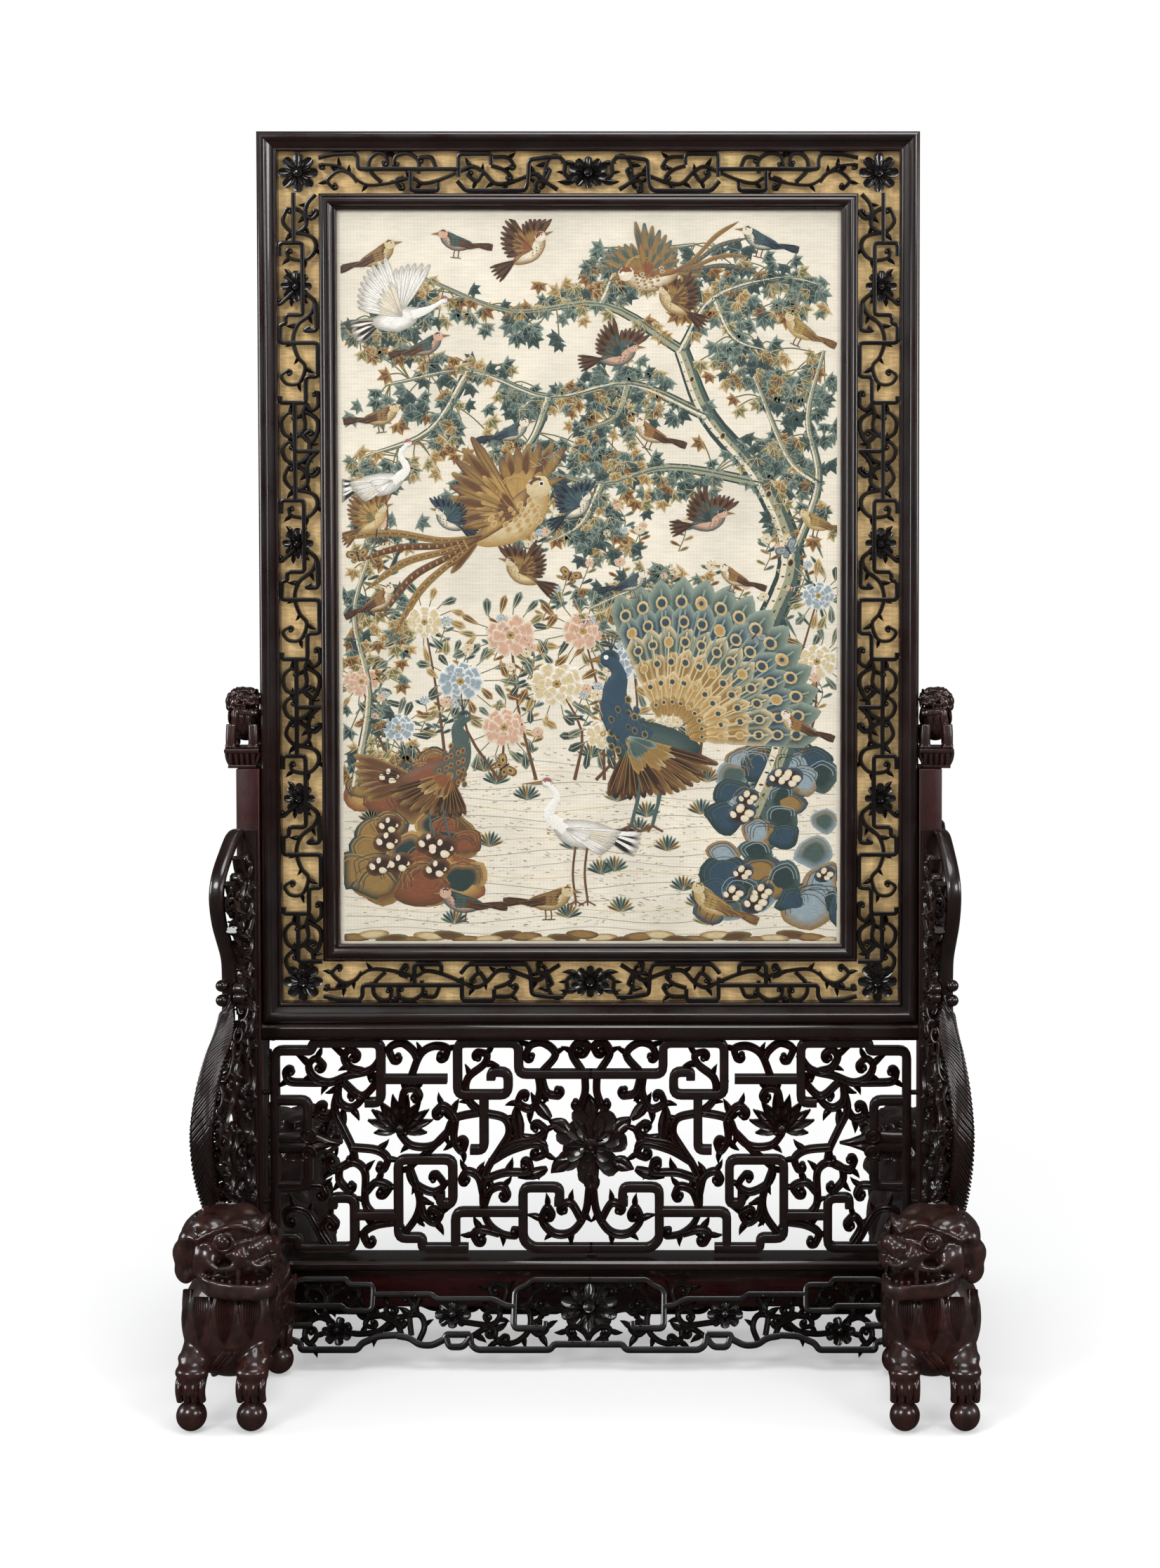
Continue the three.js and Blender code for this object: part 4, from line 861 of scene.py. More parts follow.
class SCREEN_OT_frets(bpy.types.Operator):
    """The fretwork strips of the border and the flowers in its corners"""

    bl_idname = "screen.frets"
    bl_label = "Border fretwork"

    SIZES = {"bar": 6.6, "vine": 7.2, "tip": 4.2, "bud": 7.0, "leaf": 15.0}

    def cross_strip(self, node):
        low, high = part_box(node)
        carving = Carving()
        half, tall, depth = (high.x - low.x) / 2, high.z - low.z, high.y - low.y
        stretch = (half / (CROSS["half_width"] * MM), tall / (CROSS["height"] * MM))
        bounds = (-1, half - 0.001, 0.001, tall - 0.001)
        for sign in (1, -1):
            flip = -1 if node.endswith("top") else 1
            place = Matrix(((sign, 0, 0, 0), (0, 0, -1, high.y), (0, flip, 0, low.z if flip > 0 else high.z),
                            (0, 0, 0, 1)))
            fretwork(carving, place, CROSS, stretch, self.SIZES, depth, bounds, THIN)
        middle = upright_place(0, high.y, (low.z + high.z) / 2)
        flower(carving, middle, 0, 0, 0.030, 10, depth * 1.1, 3, squash=0.8, turn=math.pi / 2)
        for side in (-1, 1):
            leaf(carving, middle, (side * 0.02, -0.012), (side, -0.35), 0.026, 0.010, depth * 0.9, bend=side * 0.3)
            leaf(carving, middle, (side * 0.02, 0.012), (side, 0.4), 0.022, 0.009, depth * 0.9, bend=-side * 0.3)
        return carving

    def side_strip(self, sign, node):
        low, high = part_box(node)
        carving = Carving()
        tall, depth = (high.z - low.z) / 3, high.y - low.y
        half = (high.x - low.x) / 2
        stretch = (2 * half / (SIDE["width"] * MM), tall / (SIDE["height"] * MM))
        for i in range(3):
            start = low.z + i * tall
            place = Matrix(((sign, 0, 0, (low.x + high.x) / 2), (0, 0, -1, high.y), (0, 1, 0, start), (0, 0, 0, 1)))
            bounds = (-half + 0.001, half - 0.001, -0.02 if i else 0.001, tall - 0.001)
            fretwork(carving, place, SIDE, stretch, self.SIZES, depth, bounds, THIN)
            flower(carving, place, -0.004, 0.248 * stretch[1], 0.0235, 8, depth * 1.08, 2)
            for turn in (60, 120, 250, 300):
                angle = math.radians(turn)
                leaf(carving, place, (-0.004 + 0.016 * math.cos(angle), 0.248 * stretch[1] + 0.018 * math.sin(angle)),
                     (math.cos(angle), math.sin(angle)), 0.014, 0.008, depth * 0.85)
        return carving

    def execute(self, context):
        for node in ("fret_bottom", "fret_top"):
            piece = self.cross_strip(node).make(node + "_carved")
            done(piece, node + "_carved", "black", "screen", [node], 50)
        for sign, node in ((1, "fret_left"), (-1, "fret_right")):
            piece = self.side_strip(sign, node).make(node + "_carved")
            done(piece, node + "_carved", "black", "screen", [node], 50)
        for end in ("bottom", "top"):
            for side in ("left", "right"):
                node = f"corner_flower_{end}_{side}"
                low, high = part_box(node)
                carving = Carving()
                place = upright_place((low.x + high.x) / 2, high.y, (low.z + high.z) / 2)
                flower(carving, place, 0, 0, (high.x - low.x) / 2 - 0.0005, 8, (high.y - low.y) * 0.86, 2)
                done(carving.make(node), node + "_carved", "black", "screen", [node], 50)
        return {"FINISHED"}


class SCREEN_OT_silks(bpy.types.Operator):
    """The golden silk behind the fretwork and the stretched ivory silk"""

    bl_idname = "screen.silks"
    bl_label = "Silks"

    CLEARANCE = 0.00008     # between a board and its silk
    HEM = 0.002             # how much smaller than its board a silk is
    WAVE = 0.00004          # how far it stands in and out between its edges

    def sheet(self, node, name, finish, slot, thickness):
        """A thin stretched sheet over the whole front of a board, a little uneven between its edges."""
        low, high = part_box(node)
        clear_selection()
        bpy.ops.mesh.primitive_grid_add(x_subdivisions=48, y_subdivisions=64, size=1,
                                        rotation=(math.radians(90), 0, 0))
        piece = bpy.context.object
        settle(piece)
        wide, tall = high.x - low.x - self.HEM, high.z - low.z - self.HEM
        for vertex in piece.data.vertices:
            x, z = vertex.co.x * wide, vertex.co.z * tall
            wave = math.sin(x * 21) * math.sin(z * 13 + 1) * self.WAVE
            vertex.co = (x + (low.x + high.x) / 2, low.y - self.CLEARANCE + wave, z + (low.z + high.z) / 2)
        use_modifier(piece, "SOLIDIFY", thickness=thickness, offset=1)
        done(piece, name, finish, "screen")

    def execute(self, context):
        self.sheet("silk_lined_board", "golden_silk_lining", "gold_silk", "golden_silk", 0.0002)
        self.sheet("embroidered_silk_panel", "ivory_silk_ground", "ivory_silk", "ivory_silk", 0.00015)
        for node, finish in (("silk_lined_board", "red_z"), ("embroidered_silk_panel", "ivory_silk"),
                             ("back_panel", "red_z"), ("back_batten_lower", "red_x"), ("back_batten_upper", "red_x")):
            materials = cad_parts[node].data.materials
            materials.clear()
            materials.append(material_of(finish))
        return {"FINISHED"}


class SCREEN_OT_posts(bpy.types.Operator):
    """The posts, rails, skirt board and pegs, with worn edges"""

    bl_idname = "screen.posts"
    bl_label = "Posts and rails"

    def execute(self, context):
        for side in ("left", "right"):
            softened(f"post_{side}", "red_z", "stand")
            for level in ("lower", "upper"):
                softened(f"panel_peg_{level}_{side}", "dark_x", "stand", 0.0004)
        softened("upper_rail", "dark_x", "stand", 0.0022)
        softened("lower_rail", "dark_x", "stand", 0.0012)
        softened("skirt_board", "red_x", "stand")
        softened("panel_spacer", "dark_x", "stand", 0.0008)
        return {"FINISHED"}


class SCREEN_OT_panel(bpy.types.Operator):
    """The large pierced panel between the rails"""

    bl_idname = "screen.panel"
    bl_label = "Pierced panel"

    SIZES = {"bar": 13.6, "vine": 12.0, "tip": 6.2, "bud": 10.0, "leaf": 20.0}
    # The large leaves beside the peony and the lotus: start, direction, length.
    LEAVES = [((0.062, 0.205), (0.75, 0.6), 0.048), ((0.068, 0.128), (0.8, -0.5), 0.045),
              ((0.070, 0.168), (1, 0.1), 0.040), ((0.108, 0.176), (0.35, 1), 0.052),
              ((0.378, 0.192), (0.2, 1), 0.032)]

    def execute(self, context):
        low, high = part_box("pierced_panel")
        carving = Carving()
        half, tall, depth = (high.x - low.x) / 2, high.z - low.z, high.y - low.y
        stretch = (half / (PANEL["half_width"] * MM), tall / (PANEL["height"] * MM))
        bounds = (0.004, half - 0.004, 0.004, tall - 0.004)
        for sign in (1, -1):
            place = upright_place(0, high.y, low.z, sign)
            fretwork(carving, place, PANEL, stretch, self.SIZES, depth, bounds)
            lotus = (0.291 * stretch[0], 0.206 * stretch[1])
            self.lotus(carving, place, lotus[0], lotus[1] - 0.012, 0.040, depth)
            self.ruyi(carving, place, 0.431 * stretch[0], 0.168 * stretch[1], depth)
            for start, direction, length in self.LEAVES:
                leaf(carving, place, start, direction, length, length * 0.42, depth * 0.92)
        peony = upright_place(0, high.y, low.z)
        centre = 0.164 * stretch[1]
        for k in range(6):
            angle = math.radians(-90 + 60 * k)
            out = Vector((math.cos(angle), math.sin(angle) * 1.1))
            leaf(carving, peony, Vector((0, centre)) + out * 0.040, out, 0.034, 0.026, depth * 0.74, bend=0.1)
        for petals, radius, share in ((7, 0.055, 0.80), (6, 0.044, 0.92), (5, 0.033, 1.02), (4, 0.021, 1.1)):
            flower(carving, peony, 0, centre, radius, petals, depth * share, 1, squash=1.1, turn=0.4 * petals)
        piece = carving.make("pierced_panel_carved")
        done(piece, "pierced_panel_carved", "dark_x", "stand", ["pierced_panel"], 50)
        return {"FINISHED"}

    def lotus(self, carving, place, u, v, size, depth):
        """A lotus seen from the side: three fans of cupped petals over drooping ones."""
        for layer, (count, spread, reach) in enumerate(((2, 118, 0.95), (8, 88, 1.15), (6, 60, 1.0), (4, 32, 0.8))):
            for k in range(count):
                angle = math.radians(spread * (2 * k / (count - 1) - 1))
                out = Vector((math.sin(angle), math.cos(angle) * 0.78))
                leaf(carving, place, Vector((u, v)) + out * 0.004, out, size * reach, size * 0.44,
                     depth * (0.76 + 0.09 * layer), CUPPED, bend=0.16 * math.sin(angle))
        bud(carving, place, u, v - 0.002, 0.010, depth * 0.98)

    def ruyi(self, carving, place, u, v, depth):
        """The cloud-shaped tab at mid height, with two round eyes."""
        plate = [(u + r, v) for r in (0.050, 0.028, 0.010, -0.004, -0.020, -0.036, -0.052)]
        widths = (0.034, 0.034, 0.036, 0.040, 0.024, 0.012, 0.002)
        band(carving, place, plate, lambda t: widths[round(t * 6)], depth * 0.84, LEAF)
        for side in (-1, 1):
            middle = Vector((u - 0.001, v + side * 0.0135))
            boss(carving, place, *middle, [(0.0125 * r, depth * h) for r, h in (
                (1, 0), (1, 0.9), (0.86, 0.98), (0.72, 0.86), (0.2, 0.86))], 20)
            spiral = [middle + Vector((math.cos(a), side * math.sin(a))) * (0.0085 - 0.0009 * a)
                      for a in [0.6 * k for k in range(14)]]
            band(carving, place, spiral, lambda t: 0.0030 * (1 - 0.4 * t), depth, THIN)


class SCREEN_OT_aprons(bpy.types.Operator):
    """The pierced aprons that slant out under the lower rail, front and back"""

    bl_idname = "screen.aprons"
    bl_label = "Pierced aprons"

    SIZES = {"bar": 8.8, "vine": 9.0, "tip": 4.8, "bud": 8.4, "leaf": 19.0}
    SLANT = math.radians(28)
    THICKNESS = 0.012
    SLOPE = 0.112           # the height of the board along its slant

    def execute(self, context):
        low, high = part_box("apron_front")
        carving = Carving()
        half = (high.x - low.x) / 2
        stretch = (half / (APRON["half_width"] * MM), self.SLOPE / (APRON["height"] * MM))
        top = Vector((0, high.y, high.z))
        back = top + Vector((0, 0, -self.THICKNESS * math.sin(self.SLANT)))
        lean = (Matrix.Translation(back) @ Matrix.Rotation(-self.SLANT, 4, "X")
                @ Matrix.Translation((0, 0, -self.SLOPE)))
        bounds = (0.002, half - 0.002, 0.002, self.SLOPE - 0.002)
        for sign in (1, -1):
            place = lean @ upright_place(0, 0, 0, sign)
            fretwork(carving, place, APRON, stretch, self.SIZES, self.THICKNESS, bounds)
            flower(carving, place, 0.378, 0.032, 0.023, 7, self.THICKNESS, 2, squash=0.9)
            flower(carving, place, 0.205, 0.056, 0.027, 8, self.THICKNESS, 2, squash=0.72, turn=math.pi / 2)
        flower(carving, lean @ upright_place(0, 0, 0), 0, 0.066, 0.044, 10, self.THICKNESS, 3, squash=0.8,
               turn=math.pi / 2)
        front = carving.make("apron_front_carved")
        back_piece = copy_of(front, "apron_back_carved", MIRROR_Y)
        for piece, node in ((front, "apron_front"), (back_piece, "apron_back")):
            done(piece, node + "_carved", "black", "stand", [node], 50)
        return {"FINISHED"}


class SCREEN_OT_spandrels(bpy.types.Operator):
    """The openwork spandrels that brace the posts, front and back"""

    bl_idname = "screen.spandrels"
    bl_label = "Spandrels"

    SIZES = {"bar": 10.0, "vine": 10.0, "tip": 5.5, "bud": 12.0, "leaf": 22.0}
    SCROLLS = {"bar": 5.0, "vine": 5.4, "tip": 3.2, "bud": 7.4, "leaf": 10.0}
    SPLAY = 8
    THICKNESS = 0.042
    CARVING = 0.018
    RIM = 0.021
    # The rim's section. Its lower half also carries barbs, as on a long feather.
    SMOOTH = [(-1, 0.2), (-0.6, 0), (0.5, 0), (0.9, 0.12), (1, 0.35), (1, 0.65), (0.9, 0.88), (0.5, 1), (-0.6, 1),
              (-1, 0.8)]

    def rim_at(self, v):
        """How far the rim stands out of the post at a height."""
        for (far, top), (near, low) in zip(SPANDREL["rim"], SPANDREL["rim"][1:]):
            if low * MM <= v <= top * MM:
                return MM * (near + (far - near) * (v / MM - low) / (top - low))
        return 0.036

    def on_face(self, curve, at, out, side):
        """A point on the front face of the lower rim, at points along its curve from its start."""
        i = min(int(at), len(curve) - 3)
        spot = curve[i].lerp(curve[i + 1], at - int(at))
        along = (curve[i + 2] - curve[i]).normalized()
        deep = 0.012 + 0.007 * math.sin(math.pi * at / (len(curve) - 1)) + out
        return Vector((spot.x - along.y * deep, spot.y + along.x * deep, side))

    def beside_rim(self, carving, place):
        """A strip of scrolls that faces forwards beside the rim and follows its outline."""
        strip = Carving()
        for i in range(6):
            flip = Matrix.Diagonal((-1 if i % 2 else 1, 1, 1, 1))
            start = Matrix.Translation((0.030, 0.060 + 0.078 * i, 0)) @ flip @ Matrix.Translation((-0.013, 0, 0))
            fretwork(strip, start, SCROLL, (0.8, 1), self.SCROLLS, 0.014, (-1, 1, -1, 1), THIN)
            flower(strip, start, 0.010, 0.062, 0.0105, 6, 0.017, 1)
        points = [place @ Vector((self.rim_at(p.y) - 0.011 + p.z, p.y, p.x)) for p in strip.points]
        carving.add(points, strip.faces)

    def execute(self, context):
        post_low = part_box("post_right")[0]
        foot_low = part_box("spandrel_front_right")[0]
        middle = Vector(((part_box("upper_rail")[1].x + 0.0058), post_low.y - 0.0003, foot_low.z))
        flat = (Matrix.Translation(middle) @ Matrix.Rotation(math.radians(self.SPLAY - 90), 4, "Z")
                @ Matrix.Rotation(math.radians(90), 4, "X"))
        carving = Carving()
        rim_place = flat @ Matrix.Translation((0, 0, -self.THICKNESS / 2))
        rim = curve_through([(u * MM, v * MM) for u, v in SPANDREL["rim"]], 3)
        upper = [p for p in rim if p.y > 0.340]
        lower = [p for p in rim if p.y < 0.390]
        band(carving, rim_place, upper, lambda t: 0.015, self.RIM, self.SMOOTH)
        band(carving, rim_place, lower, lambda t: 0.012 + 0.007 * math.sin(math.pi * t),
             lambda t: 0.013 + 0.015 * math.sin(math.pi * t) ** 0.7, self.SMOOTH)
        for k in range(2 * len(lower) - 12):
            wide = min(1, 0.55 + 0.03 * k, 0.45 + 0.03 * (2 * len(lower) - k))
            barb = [rim_place @ self.on_face(lower, 1 + 0.5 * k + step, out, side * wide)
                    for step, out, side in ((0, -0.003, 0.028), (1, 0.0002, 0.022), (2, 0.0005, 0.013),
                                            (3, 0.0003, 0.004), (3.6, -0.005, -0.0005))]
            rope(carving, Matrix.Identity(4), barb, lambda t: 0.0030 - 0.0012 * t, 8, steps=3)
        self.beside_rim(carving, rim_place)
        place = flat @ Matrix.Translation((0, 0, self.THICKNESS / 2 - self.CARVING - 0.003))
        bounds = (0.008, 0.200, 0.004, 0.598)
        fretwork(carving, place, SPANDREL, (1, 1), self.SIZES, self.CARVING, bounds, both_faces(FLUTED),
                 both_faces(BAR))
        for v in SPANDREL["beads"]:
            centre = (self.rim_at(v * MM) / MM + 11, v, 3)
            blob(carving, rim_place @ Matrix.Scale(MM, 4), centre, (9.5, 9.0, 9.5), 18, 12)
        right = carving.make("spandrel_carved")
        turns = {"front_right": Matrix.Identity(4), "front_left": MIRROR_X, "back_right": MIRROR_Y,
                 "back_left": MIRROR_X @ MIRROR_Y}
        for name, turn in turns.items():
            piece = copy_of(right, "spandrel", turn)
            done(piece, f"spandrel_{name}_carved", "dark_z", "stand", [f"spandrel_{name}"], 50)
        bpy.data.objects.remove(right)
        return {"FINISHED"}


# Carving in the round.


def blob(carving, place, centre, radii, around=20, rows=12):
    """An ellipsoid in millimetres, in the space of place."""
    rings = []
    for i in range(rows + 1):
        angle = math.pi * (0.02 + 0.96 * i / rows)
        rings.append([place @ Vector((centre[0] + radii[0] * math.sin(angle) * math.cos(2 * math.pi * k / around),
                                      centre[1] + radii[1] * math.sin(angle) * math.sin(2 * math.pi * k / around),
                                      centre[2] - radii[2] * math.cos(angle))) for k in range(around)])
    carving.rings(rings)


def rope(carving, place, path, radius, sides=8, flat=1.0, closed=False, steps=4):
    """A round strand through points in the space of place. radius is a number or depends on the share of the
    length. flat squeezes it along its second axis."""
    points = curve_through([*path, path[0]] if closed else path, steps)
    if closed:
        points = points[:-1]
    last = len(points) - 1
    ahead = (points[1] - points[0]).normalized()
    side = ahead.orthogonal().normalized()
    rings = []
    for i, point in enumerate(points):
        before = points[i - 1] if i or closed else point
        after = points[(i + 1) % len(points)] if i < last or closed else point
        ahead = (after - before).normalized()
        side = (side - ahead * side.dot(ahead)).normalized()
        up = ahead.cross(side)
        wide = radius(i / last) if callable(radius) else radius
        rings.append([place @ (point + side * wide * math.cos(2 * math.pi * k / sides)
                               + up * wide * flat * math.sin(2 * math.pi * k / sides)) for k in range(sides)])
    carving.rings(rings, closed=closed)


def tuft(carving, place, path, outwards, width, thickness, grooves=5, steps=4):
    """A pointed tuft of hair: a strand with fine grooves along it that lies on the body."""
    points = curve_through(path, steps)
    last = len(points) - 1
    face = [(-1 + k / grooves, 1.0 if k % 2 else 0.74) for k in range(2 * grooves + 1)]
    section = [(-1, 0.0), *[(s, d * math.sqrt(max(0.12, 1 - s * s))) for s, d in face], (1, 0.0)]
    rings = []
    for i, point in enumerate(points):
        t = i / last
        ahead = (points[min(i + 1, last)] - points[max(i - 1, 0)]).normalized()
        out = Vector(outwards(point) if callable(outwards) else outwards)
        out = (out - ahead * out.dot(ahead)).normalized()
        side = ahead.cross(out)
        half = width / 2 * max(0.05, min(1, 0.8 + 0.9 * t) * (1 - t ** 2.2))
        deep = thickness * (1 - 0.75 * t)
        rings.append([place @ (point + side * s * half + out * (d * deep - 0.3 * thickness)) for s, d in section])
    carving.rings(rings)


def carve(piece, strokes):
    """Pushes the surface of a piece out or in along strokes: (points, radius, height), all in metres."""
    count = len(piece.data.vertices)
    places = np.empty(count * 3)
    piece.data.vertices.foreach_get("co", places)
    places = places.reshape(-1, 3)
    normals = np.empty(count * 3)
    piece.data.vertices.foreach_get("normal", normals)
    normals = normals.reshape(-1, 3)
    moved = places.copy()
    for path, radius, height in strokes:
        points = np.array([list(p) for p in curve_through(path, 6)])
        near = np.all((places > points.min(0) - radius) & (places < points.max(0) + radius), axis=1)
        chosen = np.nonzero(near)[0]
        if not len(chosen):
            continue
        apart = np.linalg.norm(places[chosen, None, :] - points[None, :, :], axis=2).min(1) / radius
        push = height * np.clip(1 - apart ** 2, 0, 1) ** 1.5
        moved[chosen] += normals[chosen] * push[:, None]
    piece.data.vertices.foreach_set("co", moved.ravel())
    piece.data.update()


def joined(pieces, name):
    """Joins pieces into the first one."""
    clear_selection()
    for piece in pieces:
        piece.select_set(True)
    bpy.context.view_layer.objects.active = pieces[0]
    bpy.ops.object.join()
    pieces[0].name = name
    return pieces[0]


def rounded(carving, name, voxel, smoothing):
    """Melts overlapping shells into one skin and smooths it."""
    piece = carving.make(name)
    use_modifier(piece, "REMESH", mode="VOXEL", voxel_size=voxel)
    use_modifier(piece, "SMOOTH", factor=0.5, iterations=smoothing)
    return piece


# The lion's head, in millimetres: x to its left, y backwards from its face, z up, the origin inside the skull.
HEAD_MIDDLE = [((0, 14, 6), (58, 60, 44)), ((0, -42, 2), (41, 42, 19)), ((0, -26, -52), (52, 56, 20)),
               ((0, -72, -54), (28, 16, 13)), ((0, -84, 17), (13, 12, 13)), ((0, -38, 28), (34, 25, 18)),
               ((0, 4, -34), (46, 50, 30))]
HEAD_SIDES = [((16, -80, 11), (13, 13, 12)), ((44, -6, -8), (20, 26, 22)), ((36, -34, 20), (17, 16, 16)),
              ((30, 4, 32), (24, 30, 16)), ((38, -26, -50), (18, 26, 15)), ((26, -62, 2), (17, 16, 13))]
EARS = [((54, 17, 14), (15, 19, 17)), ((58, 22, -8), (13, 25, 24)), ((57, 24, -30), (12, 20, 20)),
        ((48, 18, -12), (14, 17, 34))]
LIPS = [(0, -88, -8), (14, -85, -13), (27, -76, -8), (40, -58, -15), (50, -38, -17), (56, -18, -7),
        (60, -6, -12), (60, -6, -27), (55, -20, -37), (44, -44, -41), (30, -64, -43), (14, -78, -45), (0, -82, -46)]
BROW = [(4, -60, 26), (14, -61, 36), (27, -54, 41), (42, -40, 38), (54, -18, 26), (60, 2, 14)]
TEETH = [((6, -84, -12), 3.4, 6), ((15, -81, -14), 3.4, 6), ((34, -65, -14), 4.2, 12), ((43, -51, -17), 3, 6),
         ((50, -36, -18), 3, 6), ((7, -78, -42), 3.2, -5), ((15, -75, -42), 3.2, -5), ((23, -69, -41), 3.2, -5),
         ((31, -61, -40), 3.6, -9), ((38, -52, -40), 3.2, -5), ((44, -43, -39), 3.2, -5), ((50, -31, -37), 3.2, -5),
         ((55, -20, -34), 3.2, -5)]


def lion_head(skin, details, strokes, place):
    """Adds a lion's head: soft forms to skin, crisp ones to details, and the brush strokes that shape it."""
    for centre, radii in HEAD_MIDDLE:
        blob(skin, place, centre, radii)
    for sign in (1, -1):
        turned = place @ Matrix.Diagonal((sign, 1, 1, 1))
        for centre, radii in HEAD_SIDES + EARS:
            blob(skin, turned, centre, radii)
        rope(skin, turned, LIPS, 5.2)
        rope(skin, turned, BROW, lambda t: 6.5 - 3.5 * t)
        eye = Vector((41, -43, 19))
        out = Vector((0.76, -0.62, 0.18)).normalized()
        side = out.cross(Vector((0, 0, 1))).normalized()
        up = side.cross(out)
        ring = [eye + out * 2 + side * 12.5 * math.cos(a) + up * 11.5 * math.sin(a)
                for a in [2 * math.pi * k / 14 for k in range(14)]]
        rope(details, turned, ring, 2.8, 8, closed=True, steps=2)
        blob(details, turned, eye + out * 1.0, (9.2, 9.2, 9.2))
        ring = [eye + out * 9 + side * 4.6 * math.cos(a) + up * 4.6 * math.sin(a)
                for a in [2 * math.pi * k / 10 for k in range(10)]]
        rope(details, turned, ring, 1.1, 6, closed=True, steps=2)
        for point, width, length in TEETH:
            blob(details, turned, Vector(point) - Vector((0, 0, length / 2)), (width, width * 0.8, abs(length)), 8, 6)
        scale = place.to_scale().x
        for path, radius, height in (
                ([(66, 4, 10), (69, 6, -6), (66, 8, -24)], 10, -8),
                ([(16, -64, 26), (28, -56, 34), (42, -42, 33), (55, -20, 20), (60, -8, 12)], 5, -4),
                ([(22, -66, 8), (38, -52, 2), (52, -34, 6), (60, -14, 10)], 5, 3.5),
                ([(29, -84, 4), (31, -74, 12), (24, -66, 20)], 6, -6),
                ([(26, -76, -2), (38, -64, 0), (46, -50, 2)], 5, -4),
                ([(60, 4, 8), (62, 6, -14), (58, 8, -44)], 5, -4), ([(22, -90, 8), (24, -86, 11)], 5, -5),
                ([(0, -74, 26), (0, -60, 42)], 6, -3), ([(8, -54, 44), (20, -36, 50), (26, -14, 54)], 6, 4),
                ([(0, -30, 50), (0, 0, 54), (0, 30, 50)], 6, -2),
                ([(46, -30, 46), (54, -6, 40), (56, 14, 34)], 4, 2),
                ([(38, -22, 52), (48, 2, 46), (50, 24, 40)], 4, 2),
                ([(28, -72, -2), (40, -58, -5), (52, -34, -6)], 4, -2)):
            strokes.append(([turned @ Vector(p) for p in path], radius * scale, height * scale))
        for row, (back, low) in enumerate(((30, 46), (42, 30), (52, 10), (56, -10))):
            for k in range(4):
                angle = math.radians(14 + 24 * k)
                start = Vector((math.sin(angle) * (50 - 5 * row), 8 + math.cos(angle) * (back - 6), low - 5 * k))
                away = Vector((math.sin(angle), math.cos(angle), 0.15))
                curl = [start, start + away * 5 + Vector((0, 0, -8)), start + away * 8 + Vector((0, 0, -19))]
                tuft(details, turned, curl, away, 20, 9, 3, 3)


